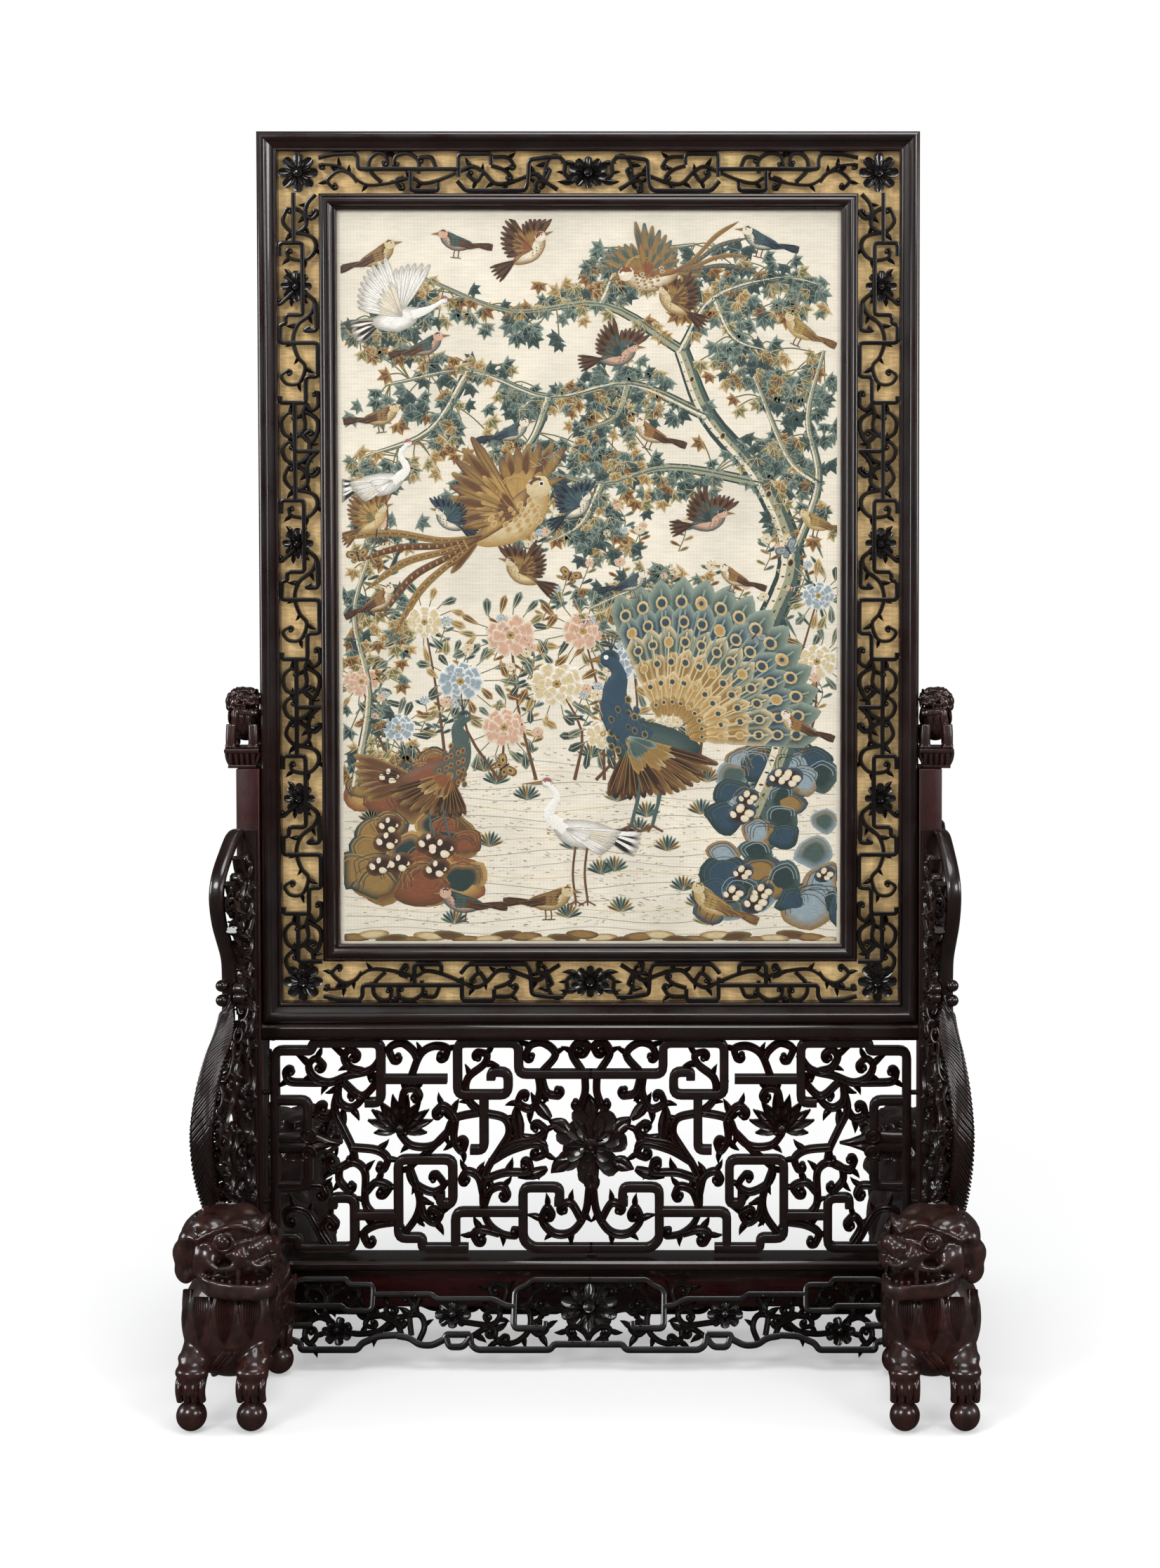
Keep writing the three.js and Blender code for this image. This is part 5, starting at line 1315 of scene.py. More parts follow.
class SCREEN_OT_feet(bpy.types.Operator):
    """The foot blocks, each carved as two lions back to back, and the turned balls under their paws"""

    bl_idname = "screen.feet"
    bl_label = "Lion feet"

    CHEST = ((0, -228, 134), (73, 93, 84))
    RUMP = ((0, -112, 128), (64, 106, 76))
    BEARD = [(-60, 24, 56), (-37, 38, 74), (-4, 40, 78), (30, 38, 74), (56, 26, 58)]
    HEAD_TURN = -50
    DECK, DECK_REACH = 0.205, 0.150     # the flat deck's height, and how far it reaches from the middle

    def on_chest(self, x, z):
        """The point of the chest's front at a given x and height."""
        centre, radii = self.CHEST
        rest = max(0.02, 1 - ((x - centre[0]) / radii[0]) ** 2 - ((z - centre[2]) / radii[2]) ** 2)
        return Vector((x, centre[1] - radii[1] * math.sqrt(rest), z))

    def out_of_chest(self, point):
        centre, radii = self.CHEST
        return Vector([(p - c) / r ** 2 for p, c, r in zip(point, centre, radii)]).normalized()

    def leg(self, skin, details, strokes, place, x, y, fore):
        """A leg with a rolled cuff and a paw of four clawed toes on its ball."""
        lean = 40 if fore else 12
        rope(skin, place, [(x * 0.9, y + lean + 20, 108), (x * 0.97, y + lean * 0.6, 92), (x, y + 6, 70), (x, y, 50)],
             lambda t: 25 - 6 * t, 12)
        blob(skin, place, (x, y + 5, 82), (24.5, 23, 12.5), 24)
        blob(skin, place, (x * 0.98, y + 22, 96), (25, 22, 11), 24)
        strokes.append(([place @ Vector((x + 24 * math.cos(a), y + 5 + 23 * math.sin(a), 73))
                         for a in [math.pi * (1.05 + 0.11 * k) for k in range(9)]], 0.004, -0.003))
        for k in range(4):
            spread = x - 15.5 + 10.4 * k
            front = y - 5 + 2.2 * abs(k - 1.5)
            rope(details, place, [(spread, front + 14, 75), (spread, front - 2, 70), (spread, front - 6, 57),
                                  (spread, front + 1, 43)], lambda t: 6.1 - 0.7 * t, 10)
            rope(details, place, [(spread, front - 9, 68), (spread, front - 13, 62), (spread, front - 12, 52)],
                 lambda t: 2.8 - 1.8 * t, 6)
            for side in (-1, 1):
                strokes.append(([place @ Vector((spread + side * 5.2, front - 4, z)) for z in (74, 60, 46)],
                                0.003, -0.002))

    def lion(self, place):
        """One lion, half of the foot."""
        skin, details, strokes = Carving(), Carving(), []
        blob(skin, place, *self.CHEST, 28, 18)
        blob(skin, place, *self.RUMP, 28, 18)
        for height in (70, 104, 140, 174):
            rope(skin, place, [(0, 4, height), (0, -60, height), (0, -118, height)], 43, 16, 0.75)
        head = place @ Matrix.Translation((0.6, -262, 250)) @ Matrix.Rotation(math.radians(self.HEAD_TURN), 4, "Z")
        lion_head(skin, details, strokes, head)
        rope(skin, place, [(0, -190, 150), (0, -214, 190), (0, -240, 216)], lambda t: 60 - 8 * t, 20)
        for side in (-1, 1):
            self.leg(skin, details, strokes, place, side * 42.5, -317, True)
            self.leg(skin, details, strokes, place, side * 42.5, -98, False)
            blob(skin, place, (side * 46, -96, 112), (20, 44, 44))
            flame = [(side * 50, -250, 112), (side * 66, -232, 122), (side * 66, -214, 140), (side * 60, -200, 164)]
            tuft(details, place, flame, (side, -0.3, 0), 24, 8, 3)
            for k in range(5):
                start = Vector((side * 58, -70 - 26 * k, 116 + 8 * math.sin(k)))
                curl = [start, start + Vector((side * 3, 16, 12)), start + Vector((side * 1, 34, 14))]
                tuft(details, place, curl, (side, 0, 0.1), 17, 7, 3, 3)
            for k in range(4):
                strokes.append(([place @ Vector((side * 66, -150 + 14 * k, 160)),
                                 place @ Vector((side * 70, -160 + 14 * k, 120)),
                                 place @ Vector((side * 60, -150 + 14 * k, 84))], 0.005, -0.0016))
        for x, width, length in self.BEARD:
            top, bottom = 186 - 0.1 * abs(x), 186 - length
            path = [self.on_chest(x + 0.10 * x * t, top + (bottom - top) * t) for t in (0, 0.3, 0.6, 1.0)]
            path[0] = path[0] + Vector((0, -4, 0))
            tuft(details, place, path, self.out_of_chest, width, 13, 10, 5)
        for k in (-1, 0, 1):
            ribbon = [self.on_chest(-14 + k * 8 + 44 * t, 112 - 52 * t) for t in (0, 0.35, 0.7, 1)]
            rope(details, place, ribbon, 4.4 if k else 3.4, 8)
        soft = bpy.context.scene.screen_carving.carving_size
        body = rounded(skin, "lion_skin", soft, 5)
        carve(body, strokes)
        self.flat_deck(body)
        return joined([body, details.make("lion_details")], "lion")

    def flat_deck(self, body):
        """Levels what stands higher than the deck under the post and the spandrels."""
        for vertex in body.data.vertices:
            if vertex.co.z > self.DECK and abs(vertex.co.y) < self.DECK_REACH:
                vertex.co.z = self.DECK

    def execute(self, context):
        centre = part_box("post_right")[0].x + 0.017 - 0.0028
        place = Matrix.Translation((centre, 0, 0)) @ Matrix.Scale(MM, 4)
        front = self.lion(place)
        back = copy_of(front, "lion_back", MIRROR_Y)
        right = joined([front, back], "lion_foot")
        left = copy_of(right, "lion_foot_left_carved", MIRROR_X)
        done(right, "lion_foot_right_carved", "warm_y", "stand", ["lion_foot_right"], 60)
        done(left, "lion_foot_left_carved", "warm_y", "stand", ["lion_foot_left"], 60)
        self.balls()
        return {"FINISHED"}

    def balls(self):
        """Turned balls, worn flat where they meet the floor."""
        for name in [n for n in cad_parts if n.startswith("ball_")]:
            low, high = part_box(name)
            radius = (high.x - low.x) / 2
            clear_selection()
            bpy.ops.mesh.primitive_uv_sphere_add(segments=32, ring_count=20, radius=radius * 0.999,
                                                 location=((low.x + high.x) / 2, (low.y + high.y) / 2, radius))
            piece = bpy.context.object
            settle(piece)
            for vertex in piece.data.vertices:
                vertex.co.z = max(vertex.co.z, 0.0002)
            done(piece, name + "_turned", "warm_z", "stand", [name], 60)


class SCREEN_OT_finials(bpy.types.Operator):
    """The finials: small seated lions on lotus bases"""

    bl_idname = "screen.finials"
    bl_label = "Finial lions"

    def execute(self, context):
        low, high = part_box("finial_lion_right")
        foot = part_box("post_right")[1].z
        centre = (low.x + high.x) / 2
        place = Matrix.Translation((centre, 0, foot)) @ Matrix.Scale(MM, 4)
        skin, details, strokes = Carving(), Carving(), []
        blob(skin, place, (0, 4, 70), (22, 24, 26))
        blob(skin, place, (0, 12, 58), (21, 15, 20))
        rope(skin, place, [(0, 2, 80), (0, -2, 96)], 17, 14)
        for side in (-1, 1):
            fore = [(side * 16, -16, 66), (side * 17, -19, 48), (side * 17, -20, 32)]
            hind = [(side * 17, 12, 60), (side * 18, 20, 46), (side * 17, 17, 32)]
            rope(skin, place, fore, lambda t: 8.5 - t, 10)
            rope(skin, place, hind, lambda t: 9 - t, 10)
            for end in (-22, 14):
                for k in range(3):
                    rope(details, place, [(side * 17 - 5 + 5 * k, end + 3, 38), (side * 17 - 5 + 5 * k, end - 3, 34),
                                          (side * 17 - 5 + 5 * k, end - 2, 30)], 2.8, 6)
            for k in range(3):
                tuft(details, place, [(side * 20, -6 + 9 * k, 84), (side * 23, -2 + 9 * k, 72),
                                      (side * 22, 2 + 9 * k, 60)], (side, 0, 0.2), 11, 5, 3, 3)
        for k in range(-1, 2):
            tuft(details, place, [(10 * k, -19, 88), (10 * k, -22, 76), (8 * k, -21, 62)], (0, -1, 0), 12, 5, 4, 3)
        head = (place @ Matrix.Translation((0, -1, 103)) @ Matrix.Rotation(math.radians(-40), 4, "Z")
                @ Matrix.Scale(0.36, 4))
        lion_head(skin, details, strokes, head)
        self.base(details, place)
        body = rounded(skin, "finial_skin", 0.0011, 3)
        carve(body, strokes)
        right = joined([body, details.make("finial_details")], "finial")
        left = copy_of(right, "finial_left", MIRROR_X)
        for piece, node in ((right, "finial_lion_right"), (left, "finial_lion_left")):
            done(piece, node + "_carved", "warm_z", "stand", [node], 60)
        return {"FINISHED"}

    def base(self, details, place):
        """A square plinth on a lotus base that narrows downwards."""
        for x, y, z0, z1 in ((26, 27, 24, 30), (21, 22, 0.4, 5)):
            corners = [(x, -y), (x, y), (-x, y), (-x, -y)]
            details.rings([[place @ Vector((a * k, b * k, z)) for a, b in corners]
                           for z, k in ((z0, 0.97), (z0 + 1, 1), (z1 - 1, 1), (z1, 0.97))])
        corners = [(1, -1), (1, 1), (-1, 1), (-1, -1)]
        details.rings([[place @ Vector((a * w, b * w * 1.03, z)) for a, b in corners]
                       for z, w in ((4, 17), (10, 16), (18, 20), (25, 22))])
        for turn in range(4):
            angle = math.radians(90 * turn)
            out = Vector((math.sin(angle), -math.cos(angle), 0))
            side = Vector((math.cos(angle), math.sin(angle), 0))
            for k in (-2, -1, 0, 1, 2):
                start = out * 18 + side * 8.4 * k + Vector((0, 0, 6))
                petal = [start, start + out * 3.5 + Vector((0, 0, 6)), start + out * 5.5 + Vector((0, 0, 12)),
                         start + out * 6.6 + Vector((0, 0, 18))]
                rope(details, place, petal, lambda t: 4.4 - 1.6 * t, 8, 0.8)


# Embroidery: the colours of the silks, and what is drawn with them.

TEAL, PALE_TEAL, DARK_TEAL, SAGE = "#4b5f59", "#8b9a89", "#2c423f", "#a09f80"
OCHRE, GOLD, STRAW, BROWN, DARK_BROWN = "#98763c", "#b8924f", "#d6c193", "#6b4526", "#3c2718"
BLUE, PALE_BLUE, GREY, WHITE, INK = "#324d5e", "#93a4aa", "#b3aea2", "#f5f1e8", "#26221f"
PINK, SALMON, CREAM, OLIVE, RUST = "#b85a62", "#d3a68a", "#e9dcc2", "#6f6c3d", "#8a4f2e"


def closed_curve(points, steps=3):
    """A smooth outline through points."""
    points = [Vector(p) for p in points]
    made = curve_through([points[-1], *points, points[0], points[1]], steps)
    return made[steps:steps * (len(points) + 1)]


def spot(x, y, length, width, angle, points=10, pointed=0.0):
    """An oval outline that may be pointed at its far end."""
    turn = Matrix.Rotation(angle, 2)
    made = []
    for k in range(points):
        a = 2 * math.pi * k / points
        narrow = 1 - pointed * max(0.0, math.cos(a)) ** 2
        made.append(Vector((x, y)) + turn @ Vector((length / 2 * math.cos(a), width / 2 * math.sin(a) * narrow)))
    return made


class Needlework(Carving):
    """Raised patches of satin stitch, drawn in millimetres on the silk. A tint is one colour or a pair: the
    middle and the edge of a patch."""

    PITCH = 1.1             # from one stitch to the next
    WAVE = 0.314            # the wave texture's bands repeat at this distance
    OPEN = (374, 4, 1098)   # the sight of the frame: half its width, its lower and its upper edge

    def __init__(self, place, relief, base=0.0):
        super().__init__()
        self.place = place
        self.relief = relief
        self.base = base
        self.count = 0

    def height(self, lift):
        self.count += 1
        return self.relief * lift * (1 + 0.06 * (self.count % 5))

    def inside(self, point):
        """The nearest place to a point that the inner frame leaves open."""
        wide, low, high = self.OPEN
        return Vector((min(wide, max(-wide, point[0])), min(high, max(low, point[1]))))

    def patch(self, outline, tint, angle=0.0, lift=0.5, smooth=0):
        """A flat shape filled with stitches that run at an angle, standing lift of the full relief."""
        middle, edge = tint if isinstance(tint, tuple) else (tint, tint)
        outline = [self.inside(p) for p in (closed_curve(outline, smooth) if smooth else outline)]
        high = self.height(lift)
        centre = sum(outline, Vector((0, 0))) / len(outline)
        across = Vector((-math.sin(angle), math.cos(angle)))
        along = Vector((math.cos(angle), math.sin(angle)))
        rings, threads = [], []
        for share, rise in ((1.0, 0.0), (0.95, self.base + 0.8 * high), (0.5, self.base + high)):
            flat = [centre + (p - centre) * share for p in outline]
            rings.append([self.place @ Vector((p.x, p.y, rise)) for p in flat])
            threads.extend([(p.dot(across) / self.PITCH * self.WAVE, p.dot(along) / 25) for p in flat])
        self.rings(rings, threads)
        count = len(outline)
        self.tints[-3 * count:] = [edge] * (2 * count) + [middle] * count

    def line(self, path, widths, tint, lift=0.4, steps=3):
        """A tapering line of stitches laid across it."""
        self.tint = tint
        points = [self.inside(p) for p in (curve_through(path, steps) if len(path) > 2 else path)]
        points = [p for i, p in enumerate(points) if not i or (p - points[i - 1]).length > 0.05]
        if len(points) < 2:
            return
        last = len(points) - 1
        high = self.height(lift)
        rings, threads, length = [], [], 0.0
        for i, point in enumerate(points):
            along = (points[min(i + 1, last)] - points[max(i - 1, 0)]).normalized()
            side = Vector((-along.y, along.x))
            wide = (widths(i / last) if callable(widths) else widths) / 2
            length += (point - points[i - 1]).length if i else 0
            rings.append([self.place @ Vector((*(point + side * s * wide), self.base * bool(h) + h * high))
                          for s, h in ((-1, 0), (1, 0), (0.6, 1), (-0.6, 1))])
            threads.extend([(length / self.PITCH * self.WAVE, s) for s in (-1, 1, 0.6, -0.6)])
        self.rings(rings, threads)

    def feather(self, root, tip, width, tint, lift=0.6, quill=None):
        """A feather or a leaf with a rounded point, and with quill the colour of its rib."""
        root, tip = Vector(root), Vector(tip)
        along = tip - root
        side = Vector((-along.y, along.x)).normalized() * width / 2
        outline = [root - side * 0.3, root + along * 0.45 - side * 0.85, root + along * 0.82 - side * 0.95,
                   tip - side * 0.4, tip + along.normalized() * width * 0.18, tip + side * 0.4,
                   root + along * 0.82 + side * 0.95, root + along * 0.45 + side * 0.85, root + side * 0.3]
        self.patch(outline, tint, math.atan2(along.y, along.x) + 0.7, lift)
        if quill:
            self.line([root, root + along * 0.92], max(0.7, width * 0.09), quill, lift + 0.35)

    def fan(self, at, root, first, last, reach, count, width, tints, lift=0.5, taper=0.0, quill=None):
        """Feathers that spread from a root, from the first angle to the last."""
        for k in range(count):
            share = k / max(count - 1, 1)
            angle = math.radians(first + (last - first) * share)
            far = reach * (1 - taper * share)
            self.feather(at(*root), at(root[0] + math.cos(angle) * far, root[1] + math.sin(angle) * far), width,
                         tints[k % len(tints)], lift + 0.02 * k, quill)

    def maple(self, x, y, size, angle, tint):
        """A leaf of five lobes with its veins."""
        outline = [(x, y)]
        for k, reach in enumerate((0.66, 0.48, 0.88, 0.60, 1.0, 0.60, 0.88, 0.48, 0.66)):
            spread = angle + (k - 4) * 0.37
            outline.append((x + math.cos(spread) * reach * size, y + math.sin(spread) * reach * size))
        self.patch(outline, tint, angle + 0.5, 0.45)
        for spread in (-0.74, 0, 0.74):
            way = angle + spread
            self.line([(x, y), (x + math.cos(way) * size * 0.66, y + math.sin(way) * size * 0.66)],
                      size * 0.045, tint[1], 0.75)

    def blossom(self, x, y, size, tint, core):
        """A full flower with three rings of broad petals, pale at their edges."""
        for petals, share in ((8, 1.0), (7, 0.74), (5, 0.46)):
            for k in range(petals):
                angle = 2 * math.pi * (k + 0.3 * share) / petals + x
                out = Vector((math.cos(angle), math.sin(angle) * 0.86)) * size / 2 * share
                side = Vector((-out.y, out.x)) * 3.4 / petals
                middle = Vector((x, y))
                self.patch([middle + out * 0.2, middle + out * 0.66 - side * 0.75, middle + out * 0.94 - side * 0.6,
                            middle + out * 0.93, middle + out * 0.98 + side * 0.5, middle + out * 0.66 + side * 0.8],
                           tint, angle, 0.45 + 0.4 * (1 - share), smooth=2)
        for k in range(7):
            self.patch(spot(x + math.cos(k * 0.9) * size * 0.06, y + math.sin(k * 0.9) * size * 0.05, size * 0.06,
                            size * 0.06, 0, 6), core, 0, 1.2)

    def moth(self, x, y, size, angle, tints):
        """A butterfly with four spotted wings."""
        for side in (-1, 1):
            for spread, reach in ((1.15, 1.0), (2.2, 0.72)):
                turned = angle + side * spread
                middle = (x + math.cos(turned) * size * 0.36 * reach, y + math.sin(turned) * size * 0.36 * reach)
                self.patch(spot(*middle, size * 0.72 * reach, size * 0.44 * reach, turned, 10, -0.6),
                           (tints[0], tints[1]), turned, 0.5)
                self.patch(spot(*middle, size * 0.2, size * 0.14, turned, 7), (tints[2], INK), turned, 0.8)
        self.line([(x - math.cos(angle) * size * 0.3, y - math.sin(angle) * size * 0.3),
                   (x + math.cos(angle) * size * 0.3, y + math.sin(angle) * size * 0.3)], size * 0.08, INK, 0.9)

    def placed(self, x, y, size, way, tilt=0.0):
        """From a bird's own drawing, in shares of its size and facing right, to the silk."""
        turn = Matrix.Rotation(tilt, 2)

        def at(forward, up):
            turned = turn @ Vector((forward, up)) * size
            return Vector((x + way * turned.x, y + turned.y))
        return at

    def head(self, at, size, x, y, tint, cap, beak=0.2):
        """A head with its cap, eye and beak."""
        self.patch([at(x + 0.08, y + 0.05), at(x + 0.08, y - 0.05), at(x + 0.12 + beak, y - 0.035)], (OCHRE, BROWN),
                   0, 0.9)
        self.patch([at(x + 0.14 * math.cos(a), y + 0.125 * math.sin(a)) for a in [0.63 * k for k in range(10)]],
                   tint, 0.6, 1.0)
        self.patch([at(x + 0.11, y + 0.04), at(x + 0.02, y + 0.03), at(x - 0.12, y), at(x - 0.09, y + 0.09),
                    at(x, y + 0.125), at(x + 0.08, y + 0.09)], cap, 0.2, 1.2)
        self.patch(spot(*at(x + 0.045, y + 0.02), size * 0.07, size * 0.07, 0, 7), WHITE, 0, 1.35)
        self.patch(spot(*at(x + 0.045, y + 0.02), size * 0.042, size * 0.042, 0, 6), INK, 0, 1.55)

    BODY = [(0.50, 0.16), (0.44, -0.04), (0.16, -0.21), (-0.16, -0.19), (-0.42, -0.05), (-0.30, 0.08), (0.02, 0.17),
            (0.30, 0.28)]
    MANTLE = [(0.38, 0.26), (0.22, 0.05), (-0.08, -0.02), (-0.42, -0.04), (-0.28, 0.08), (0.02, 0.18)]
    WING = [(0.28, 0.10), (0.12, -0.06), (-0.14, -0.11), (-0.62, -0.07), (-0.20, 0.07), (0.10, 0.15)]

    def bird(self, x, y, size, way, tilt, dress, flying=False, tail=0.62):
        """A small bird, perched or on the wing."""
        cap, back, belly, wing, dark = dress
        at = self.placed(x, y, size, way, tilt)
        slope = tilt if way > 0 else math.pi - tilt
        if flying:
            self.fan(at, (0.16, 0.08), 28, 84, 0.80, 7, size * 0.12, ((wing, dark), (dark, wing)), 0.2, 0.3)
            self.fan(at, (0.16, 0.08), 34, 84, 0.44, 5, size * 0.12, ((back, wing),), 0.5, 0.2)
        self.fan(at, (-0.30, 0.0), 168 if flying else 176, 204 if flying else 190, tail, 5, size * 0.085,
                 ((dark, wing), (wing, dark)), 0.25, quill=dark)
        self.patch([at(*p) for p in self.BODY], (belly, back), slope, 0.6, smooth=2)
        self.patch([at(*p) for p in self.MANTLE], (back, cap), slope + 0.5, 0.8, smooth=2)
        for row in range(3):
            for k in range(3):
                self.patch(spot(*at(0.34 - 0.10 * k - 0.03 * row, 0.02 - 0.06 * row), size * 0.07, size * 0.045,
                                slope + 0.6, 6), (back, belly), 0.9, 1.0)
        self.head(at, size, 0.44, 0.20, belly, cap)
        if flying:
            self.fan(at, (0.14, 0.04), 96, 168, 0.92, 9, size * 0.12, ((wing, dark), (dark, wing)), 0.8, 0.35, dark)
            self.fan(at, (0.14, 0.04), 98, 168, 0.56, 8, size * 0.11, ((back, cap), (wing, back)), 1.05, 0.3)
            self.fan(at, (0.14, 0.04), 104, 172, 0.30, 6, size * 0.10, ((cap, back),), 1.3, 0.2)
            return
        for step in (-0.04, 0.08):
            self.line([at(step, -0.18), at(step + 0.02, -0.32), at(step + 0.01, -0.40)], size * 0.03, BROWN, 0.5)
            self.line([at(step - 0.06, -0.41), at(step + 0.10, -0.40)], size * 0.025, BROWN, 0.5)
        self.patch([at(*p) for p in self.WING], (wing, dark), slope, 1.0, smooth=2)
        for k in range(6):
            self.feather(at(0.02 - 0.02 * k, 0.04 - 0.02 * k), at(-0.66 + 0.06 * k, -0.04 - 0.017 * k), size * 0.06,
                         (dark, wing) if k % 2 else (wing, dark), 1.2)
        for row in range(2):
            for k in range(4):
                self.feather(at(0.24 - 0.10 * row, 0.11 - 0.055 * k), at(0.08 - 0.12 * row, 0.10 - 0.06 * k),
                             size * 0.07, (back, cap), 1.45 - 0.1 * row)

    def long_tailed(self, x, y, size, way, tilt, dress, plumes):
        """A large bird on the wing with a crest and long curved plumes."""
        at = self.placed(x, y, size, way, tilt)
        for k in range(plumes):
            spread = 0.10 * (k - (plumes - 1) / 2)
            path = [at(-0.3, 0.0), at(-0.7, 0.02 + spread * 0.6), at(-1.15, 0.10 + spread * 1.7),
                    at(-1.65 + 0.08 * (k % 2), 0.02 + spread * 3.0)]
            self.line(path, lambda t: size * 0.075 * (0.5 + t) * (1.02 - t ** 6), dress[k % 2 + 3], 0.5, 6)
            self.line(path, size * 0.012, dress[0], 0.9, 6)
            for point in curve_through(path, 6)[3:-1]:
                self.patch(spot(*point, size * 0.045, size * 0.03, tilt + 1.2, 6), (dress[1], dress[0]), 0.5, 1.0)
        self.bird(x, y, size, way, tilt, dress, True, 0.5)
        for row in range(5):
            for k in range(5 - row // 2):
                self.patch(spot(*at(0.30 - 0.11 * k, 0.12 - 0.06 * row), size * 0.09, size * 0.06, tilt + 0.5, 8),
                           (dress[1], dress[2]), 0.9, 1.5)
        for k in range(4):
            self.line([at(0.42, 0.30), at(0.34 - 0.05 * k, 0.40 + 0.01 * k), at(0.22 - 0.07 * k, 0.42 - 0.03 * k)],
                      size * 0.02, GOLD, 1.0)

    def train(self, at, root, first, last, reach, size, rows, count):
        """A spread train: rows of round feathers, each with an eye."""
        shades = ((TEAL, PALE_TEAL), (BLUE, PALE_TEAL), (TEAL, STRAW), (OCHRE, STRAW), (GOLD, STRAW), (OCHRE, GOLD))
        for row in range(rows):
            spots = count - row
            for k in range(spots):
                share = (k + 0.5) / spots
                angle = math.radians(first + (last - first) * share)
                far = reach * (1 - 0.145 * row) * (1 - 0.10 * abs(2 * share - 1) ** 2)
                out = Vector((math.cos(angle), math.sin(angle)))
                wide = size * far * math.radians(last - first) / spots * 1.3
                start, tip, eye = (at(*(Vector(root) + out * far * s)) for s in (0.55, 0.96, 0.84))
                self.feather(start, tip, wide, shades[row], 0.3 + 0.16 * row, shades[row][1])
                high = 0.16 * row
                self.patch(spot(*eye, wide * 0.50, wide * 0.42, angle, 9), (GOLD, STRAW), angle, 0.75 + high)
                self.patch(spot(*eye, wide * 0.30, wide * 0.28, angle, 8), (BLUE, DARK_TEAL), angle, 0.95 + high)

    def great_bird(self, x, y, size, way, dress, spread, reach, rows, count):
        """A large standing bird with a scaled breast, dark wings let down, long legs and a spread train."""
        at = self.placed(x, y, size, way)
        if rows:
            self.train(at, (-0.10, 0.05), *spread, reach, size, rows, count)
        else:
            self.fan(at, (-0.12, 0.0), *spread, reach, 7, size * 0.11, ((dress[4], dress[1]),), 0.4, 0.2, dress[4])
        for step in (-0.04, 0.10):
            self.line([at(step, -0.10), at(step - 0.02, -0.30), at(step + 0.03, -0.52)],
                      lambda t: size * (0.075 - 0.05 * min(1, 1.6 * t)), TEAL, 0.8)
            for toe in (-0.07, 0.03, 0.10):
                self.line([at(step + 0.03, -0.52), at(step + 0.03 + toe, -0.56)], size * 0.016, BROWN, 0.7)
        self.fan(at, (0.14, 0.02), 232, 292, 0.36, 9, size * 0.075, ((DARK_BROWN, BROWN), (BROWN, DARK_BROWN)), 0.7,
                 quill=OCHRE)
        self.patch([at(*p) for p in ((0.26, 0.16), (0.22, -0.06), (0.02, -0.20), (-0.22, -0.14), (-0.34, 0.0),
                                     (-0.16, 0.12), (0.06, 0.18))], (dress[0], dress[2]), 0.4, 1.0, smooth=2)
        self.line([at(0.04, 0.02), at(0.20, 0.16), at(0.24, 0.34), at(0.21, 0.48), at(0.27, 0.58)],
                  lambda t: size * (0.30 - 0.20 * min(1, 1.25 * t)), dress[3], 1.3, 5)
        for row in range(8):
            for k in range(5 - row // 3):
                self.patch(spot(*at(0.27 - 0.055 * k - 0.012 * (row % 2), -0.04 + 0.045 * row + 0.02 * k),
                                size * 0.06, size * 0.046, 1.2 * way, 8), ((dress[3], dress[0]), (dress[2], GOLD))[
                                    (row + k) % 2], 0.9, 1.6)
        self.fan(at, (0.16, 0.06), 196, 246, 0.62, 11, size * 0.07, ((DARK_BROWN, BROWN), (BROWN, OCHRE)), 1.3, 0.35,
                 OCHRE)
        self.fan(at, (0.16, 0.06), 196, 250, 0.36, 9, size * 0.065, ((dress[4], GOLD), (OCHRE, STRAW)), 1.6, 0.3)
        self.fan(at, (0.15, 0.07), 200, 256, 0.20, 7, size * 0.06, ((dress[0], dress[1]),), 1.9, 0.2)
        near = self.placed(*at(0.27, 0.585), size * 0.5, way)
        self.head(near, size * 0.5, 0, 0, dress[3], (DARK_TEAL, dress[3]), 0.22)
        for k in range(4):
            stem = [near(-0.02, 0.10), near(-0.10 + 0.06 * k, 0.30)]
            self.line(stem, size * 0.008, DARK_TEAL, 1.0)
            self.patch(spot(*stem[1], size * 0.03, size * 0.03, 0, 7), (BLUE, GOLD), 0, 1.2)

    def wader(self, x, y, size, way, flying=False):
        """A tall white bird with a long neck, standing or on the wing."""
        at = self.placed(x, y, size, way, 0.15 if flying else 0.0)
        white, black = (WHITE, GREY), (INK, GREY)
        if flying:
            self.fan(at, (0.05, 0.05), 50, 100, 0.72, 8, size * 0.10, (white,), 0.4, 0.3, GREY)
            for side in (0, 0.05):
                self.line([at(-0.25, side - 0.04), at(-0.6, side - 0.02), at(-0.86, side)], size * 0.018, BROWN, 0.5)
        else:
            for step in (-0.04, 0.08):
                self.line([at(step, -0.12), at(step + 0.03, -0.42), at(step, -0.70)], size * 0.024, BROWN, 0.5)
                for toe in (-0.08, 0.0, 0.09):
                    self.line([at(step, -0.70), at(step + toe, -0.745)], size * 0.016, BROWN, 0.5)
        self.fan(at, (-0.16, 0.0), 176, 214, 0.42, 7, size * 0.07, (black, white), 0.4)
        self.patch([at(*p) for p in ((0.30, 0.10), (0.24, -0.08), (0.0, -0.17), (-0.28, -0.08), (-0.30, 0.04),
                                     (0.0, 0.13))], white, 0.3, 0.8, smooth=2)
        neck = ([at(0.2, 0.02), at(0.42, 0.06), at(0.62, 0.14)] if flying else
                [at(0.18, 0.02), at(0.35, 0.18), at(0.27, 0.36), at(0.36, 0.50)])
        self.line(neck, lambda t: size * (0.16 - 0.10 * min(1, 1.4 * t)), WHITE, 1.1, 5)
